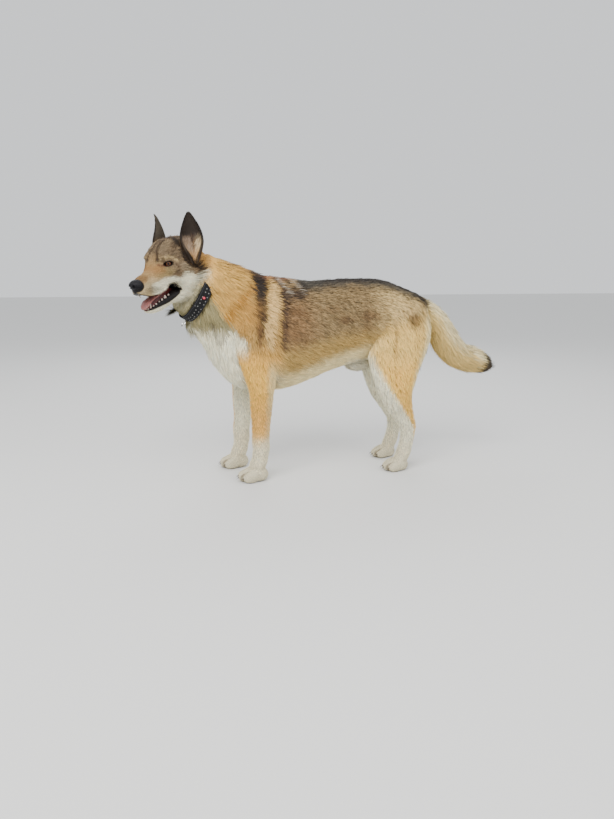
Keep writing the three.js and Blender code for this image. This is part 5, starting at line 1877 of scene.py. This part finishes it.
crowns, crowns_back = [], []
for teeth_row, down in ((UPPER_TEETH, True), (LOWER_TEETH, False)):
    for x, side, root, long, radius, lean in teeth_row:
        for mirror in (-1, 1):
            crowns.append(from_head(tooth(x, side, root, long, radius, lean, down) * (1, mirror, 1)))
            crowns_back.append((mirror > 0) == down)
teeth, down_tooth = gather("teeth", crowns, crowns_back, TOOTH_ROWS, TOOTH_SIDES, 7, TOOTH_ROWS - 1)
add_value(teeth.data, "crown", down_tooth)
tooth_finish, tree = material("tooth")
stain = texture(tree, "TexNoise", 300.0, Detail=3.0)
towards_tip = calculate(tree, "MULTIPLY_ADD", stain, 0.4, attribute(tree, "crown", "Fac"))
finish(tree, Base_Color=mix(tree, towards_tip, (0.24, 0.13, 0.11, 1), (0.5, 0.44, 0.36, 1)), Roughness=0.2)
teeth.data.materials.append(tooth_finish)


# ---- Claws ----
# Blunt horn claws, one to a toe, curved down to the floor ahead of the pads.
CLAW_LONG = 17
CLAW_BEND = 1.1
CLAW_ROWS, CLAW_SIDES = 12, 10
horns = []
t, turn = rows_and_turn(CLAW_ROWS, CLAW_SIDES)
for name, (long, wide, high, x, side) in PAWS.items():
    for spread in TOE_SPREADS:
        toe = toe_place(name, spread)
        size = 3.5 * np.sqrt(np.clip(1 - t, 0, 1)) * (1 - 0.15 * t) + 0.05
        bend_down = CLAW_BEND * t
        path_x = -CLAW_LONG * np.sin(bend_down) / CLAW_BEND
        path_z = -CLAW_LONG * (1 - np.cos(bend_down)) / CLAW_BEND
        px = toe[0] - long * 0.175 + path_x + size * np.sin(turn) * np.sin(bend_down)
        py = toe[1] + spread * 2 + size * 0.8 * np.cos(turn)
        pz = toe[2] + high * 0.02 + path_z + size * np.sin(turn) * np.cos(bend_down)
        horns.append(np.stack([px + 0 * py, py, np.maximum(pz, 0.6)], 2).reshape(-1, 3))
claws, _ = gather("claws", horns, [True] * len(horns), CLAW_ROWS, CLAW_SIDES, 4, CLAW_ROWS)
claw_finish, tree = material("claw_horn")
squeezed = node(tree, "Mapping", {"Vector": node(tree, "TexCoord", {}).outputs["Object"],
                                  "Scale": (120.0, 900.0, 500.0)})
layers = node(tree, "TexNoise", {"Vector": squeezed, "Scale": 1.0, "Detail": 3.0})
horn = mix(tree, layers, (0.02, 0.017, 0.016, 1), (0.14, 0.11, 0.09, 1))
finish(tree, Base_Color=horn, Normal=bump(tree, 0.35, 0.0004, layers), Roughness=0.38)
claws.data.materials.append(claw_finish)


# ---- Collar ----
# A woven black strap with rows of small pale dots, stitched along both edges, and its moulded
# buckle, round red stud and plated ring.
STRAP_LONG = 575.0  # once round the strap
STRAP_STEPS = 220
STRAP_ROUND = 28
u = np.linspace(0, 2 * np.pi, STRAP_STEPS, endpoint=False)[:, None]
corner = np.linspace(0, 2 * np.pi, STRAP_ROUND, endpoint=False)[None]
across = STRAP_WIDE / 2 * np.sign(np.cos(corner)) * np.abs(np.cos(corner)) ** 0.25
through = STRAP_THICK / 2 * np.sign(np.sin(corner)) * np.abs(np.sin(corner)) ** 0.45
through = through + 0.35 * np.cos(across / STRAP_WIDE * 2 * np.pi) * (through > 0)
pressed = 1 - 0.24 * ramp(np.cos(u) * COLLAR_HIGH, HIDDEN_ABOVE - 2, HIDDEN_ABOVE + 14)
up = (COLLAR_HIGH * pressed + through) * np.cos(u)
side = (COLLAR_WIDE * pressed + through) * np.sin(u)
ring = (COLLAR_MIDDLE + up[:, :, None] * COLLAR_UP + side[:, :, None] * COLLAR_SIDE
        + (across + 0 * u)[:, :, None] * COLLAR_FACE)
last = (STRAP_STEPS - 1) * STRAP_ROUND
here = np.arange(STRAP_ROUND)
beside = (here + 1) % STRAP_ROUND
closing = np.stack([last + here, last + beside, beside, here], 1)
strap_faces = np.vstack([grid_faces(STRAP_STEPS, STRAP_ROUND), closing])[:, ::-1]
strap = piece("collar_strap", ring.reshape(-1, 3), strap_faces)
round_share = (u / (2 * np.pi) + 0 * corner).ravel()
lay_out(strap.data, round_share, (corner / (2 * np.pi) + 0 * u).ravel())
along_strap = (u / (2 * np.pi) * STRAP_LONG + 0 * corner).ravel()
add_place(strap.data, "weave", np.stack([along_strap, (across + 0 * u).ravel(), 0 * (across + u).ravel()], 1))
webbing, tree = material("webbing")
woven = attribute(tree, "weave", "Vector")
strap_place = node(tree, "SeparateXYZ", {0: woven})
rib_look = {"Vector": woven, "Scale": 0.22, "Distortion": 0.6, "Detail": 1.0}
ribs = node(tree, "TexWave", rib_look, bands_direction="X")
thread_look = {"Vector": woven, "Scale": 0.3, "Distortion": 0.4, "Detail": 1.0}
threads = node(tree, "TexWave", thread_look, bands_direction="Y")
cloth = calculate(tree, "MULTIPLY", ribs.outputs["Fac"], threads.outputs["Fac"])
spot_look = {"Vector": woven, "Scale": 0.085, "Randomness": 0.45}
spots = node(tree, "TexVoronoi", spot_look, voronoi_dimensions="2D")
spot = remap(tree, spots, 0.1, 0.17, 1.0, 0.0)
edge = calculate(tree, "ABSOLUTE", strap_place.outputs["Y"])
line = calculate(tree, "COMPARE", edge, 13.6, 0.5)
dash = calculate(tree, "PINGPONG", strap_place.outputs["X"], 2.0)
stitch = calculate(tree, "MULTIPLY", line, calculate(tree, "GREATER_THAN", dash, 0.5))
spot_in = calculate(tree, "MULTIPLY", spot, calculate(tree, "LESS_THAN", edge, 12.0))
black_cloth = mix(tree, cloth, (0.006, 0.006, 0.007, 1), (0.03, 0.03, 0.033, 1))
dotted = mix(tree, spot_in, black_cloth, (0.24, 0.24, 0.23, 1))
stitched = mix(tree, stitch, dotted, (0.06, 0.06, 0.065, 1))
weave = bump(tree, 0.6, 0.0006, calculate(tree, "ADD", cloth, stitch))
finish(tree, Base_Color=stitched, Normal=weave, Roughness=0.78, Specular_IOR_Level=0.15)
strap.data.materials.append(webbing)
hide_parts("collar_band")


def hard_finish(name, tone, tone_worn, rough, metal=0.0, coat=0.0):
    """A moulded or plated finish, with faint scuffs in its colour, gloss and surface."""
    made, tree = material(name)
    scuffs = texture(tree, "TexNoise", 260.0, Detail=6.0)
    scratches = texture(tree, "TexNoise", 260.0 * 4)
    tones = mix(tree, remap(tree, scuffs, 0.45, 0.7, 0.0, 1.0), (*tone, 1), (*tone_worn, 1))
    dull = remap(tree, scuffs, 0.0, 1.0, rough, rough + 0.2)
    finish(tree, Base_Color=tones, Roughness=dull, Normal=bump(tree, 0.15, 0.0003, scratches), Metallic=metal,
           Coat_Weight=coat)
    return made


for name, made in (
    ("collar_buckle", hard_finish("buckle", (0.012, 0.012, 0.013), (0.04, 0.04, 0.042), 0.32)),
    ("collar_stud", hard_finish("stud", (0.6, 0.02, 0.05), (0.7, 0.06, 0.1), 0.2, coat=0.6)),
    ("collar_ring", hard_finish("ring_metal", (0.72, 0.72, 0.7), (0.5, 0.49, 0.47), 0.16, metal=1.0)),
):
    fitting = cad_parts[name]
    for slot in fitting.material_slots:
        slot.material = made
    if not fitting.material_slots:
        fitting.data.materials.append(made)


# ---- Floor and light ----
# A plain pale floor and a soft, high light from all round, as under a bright overcast sky.
def lamp(name, place, aim, size, power, colour=(1, 1, 1)):
    """A square soft light at a place, turned towards its aim."""
    data = bpy.data.lights.new(name, "AREA")
    data.size = size
    data.energy = power
    data.color = colour
    made = bpy.data.objects.new(name, data)
    made.location = place
    made.rotation_euler = (Vector(aim) - Vector(place)).to_track_quat("-Z", "Y").to_euler()
    bpy.context.scene.collection.objects.link(made)


bpy.ops.mesh.primitive_plane_add(size=40, location=(0, 0, 0))
floor = bpy.context.object
floor.name = "floor"
floor_finish, tree = material("floor")
finish(tree, Base_Color=(0.72, 0.72, 0.71, 1), Roughness=0.85)
floor.data.materials.append(floor_finish)

world = bpy.data.worlds.new("room")
bpy.context.scene.world = world
world.use_nodes = True
feed(world.node_tree.nodes["Background"], {"Color": (0.86, 0.88, 0.9, 1), "Strength": 1.15})
lamp("key", (-1.6, -2.2, 3.0), (-0.1, 0, 0.45), 2.4, 150, (1, 0.98, 0.95))
lamp("fill", (1.8, -2.4, 1.8), (0, 0, 0.45), 2.5, 38)
lamp("back", (0.4, 2.6, 2.6), (0, 0, 0.5), 2.0, 40)
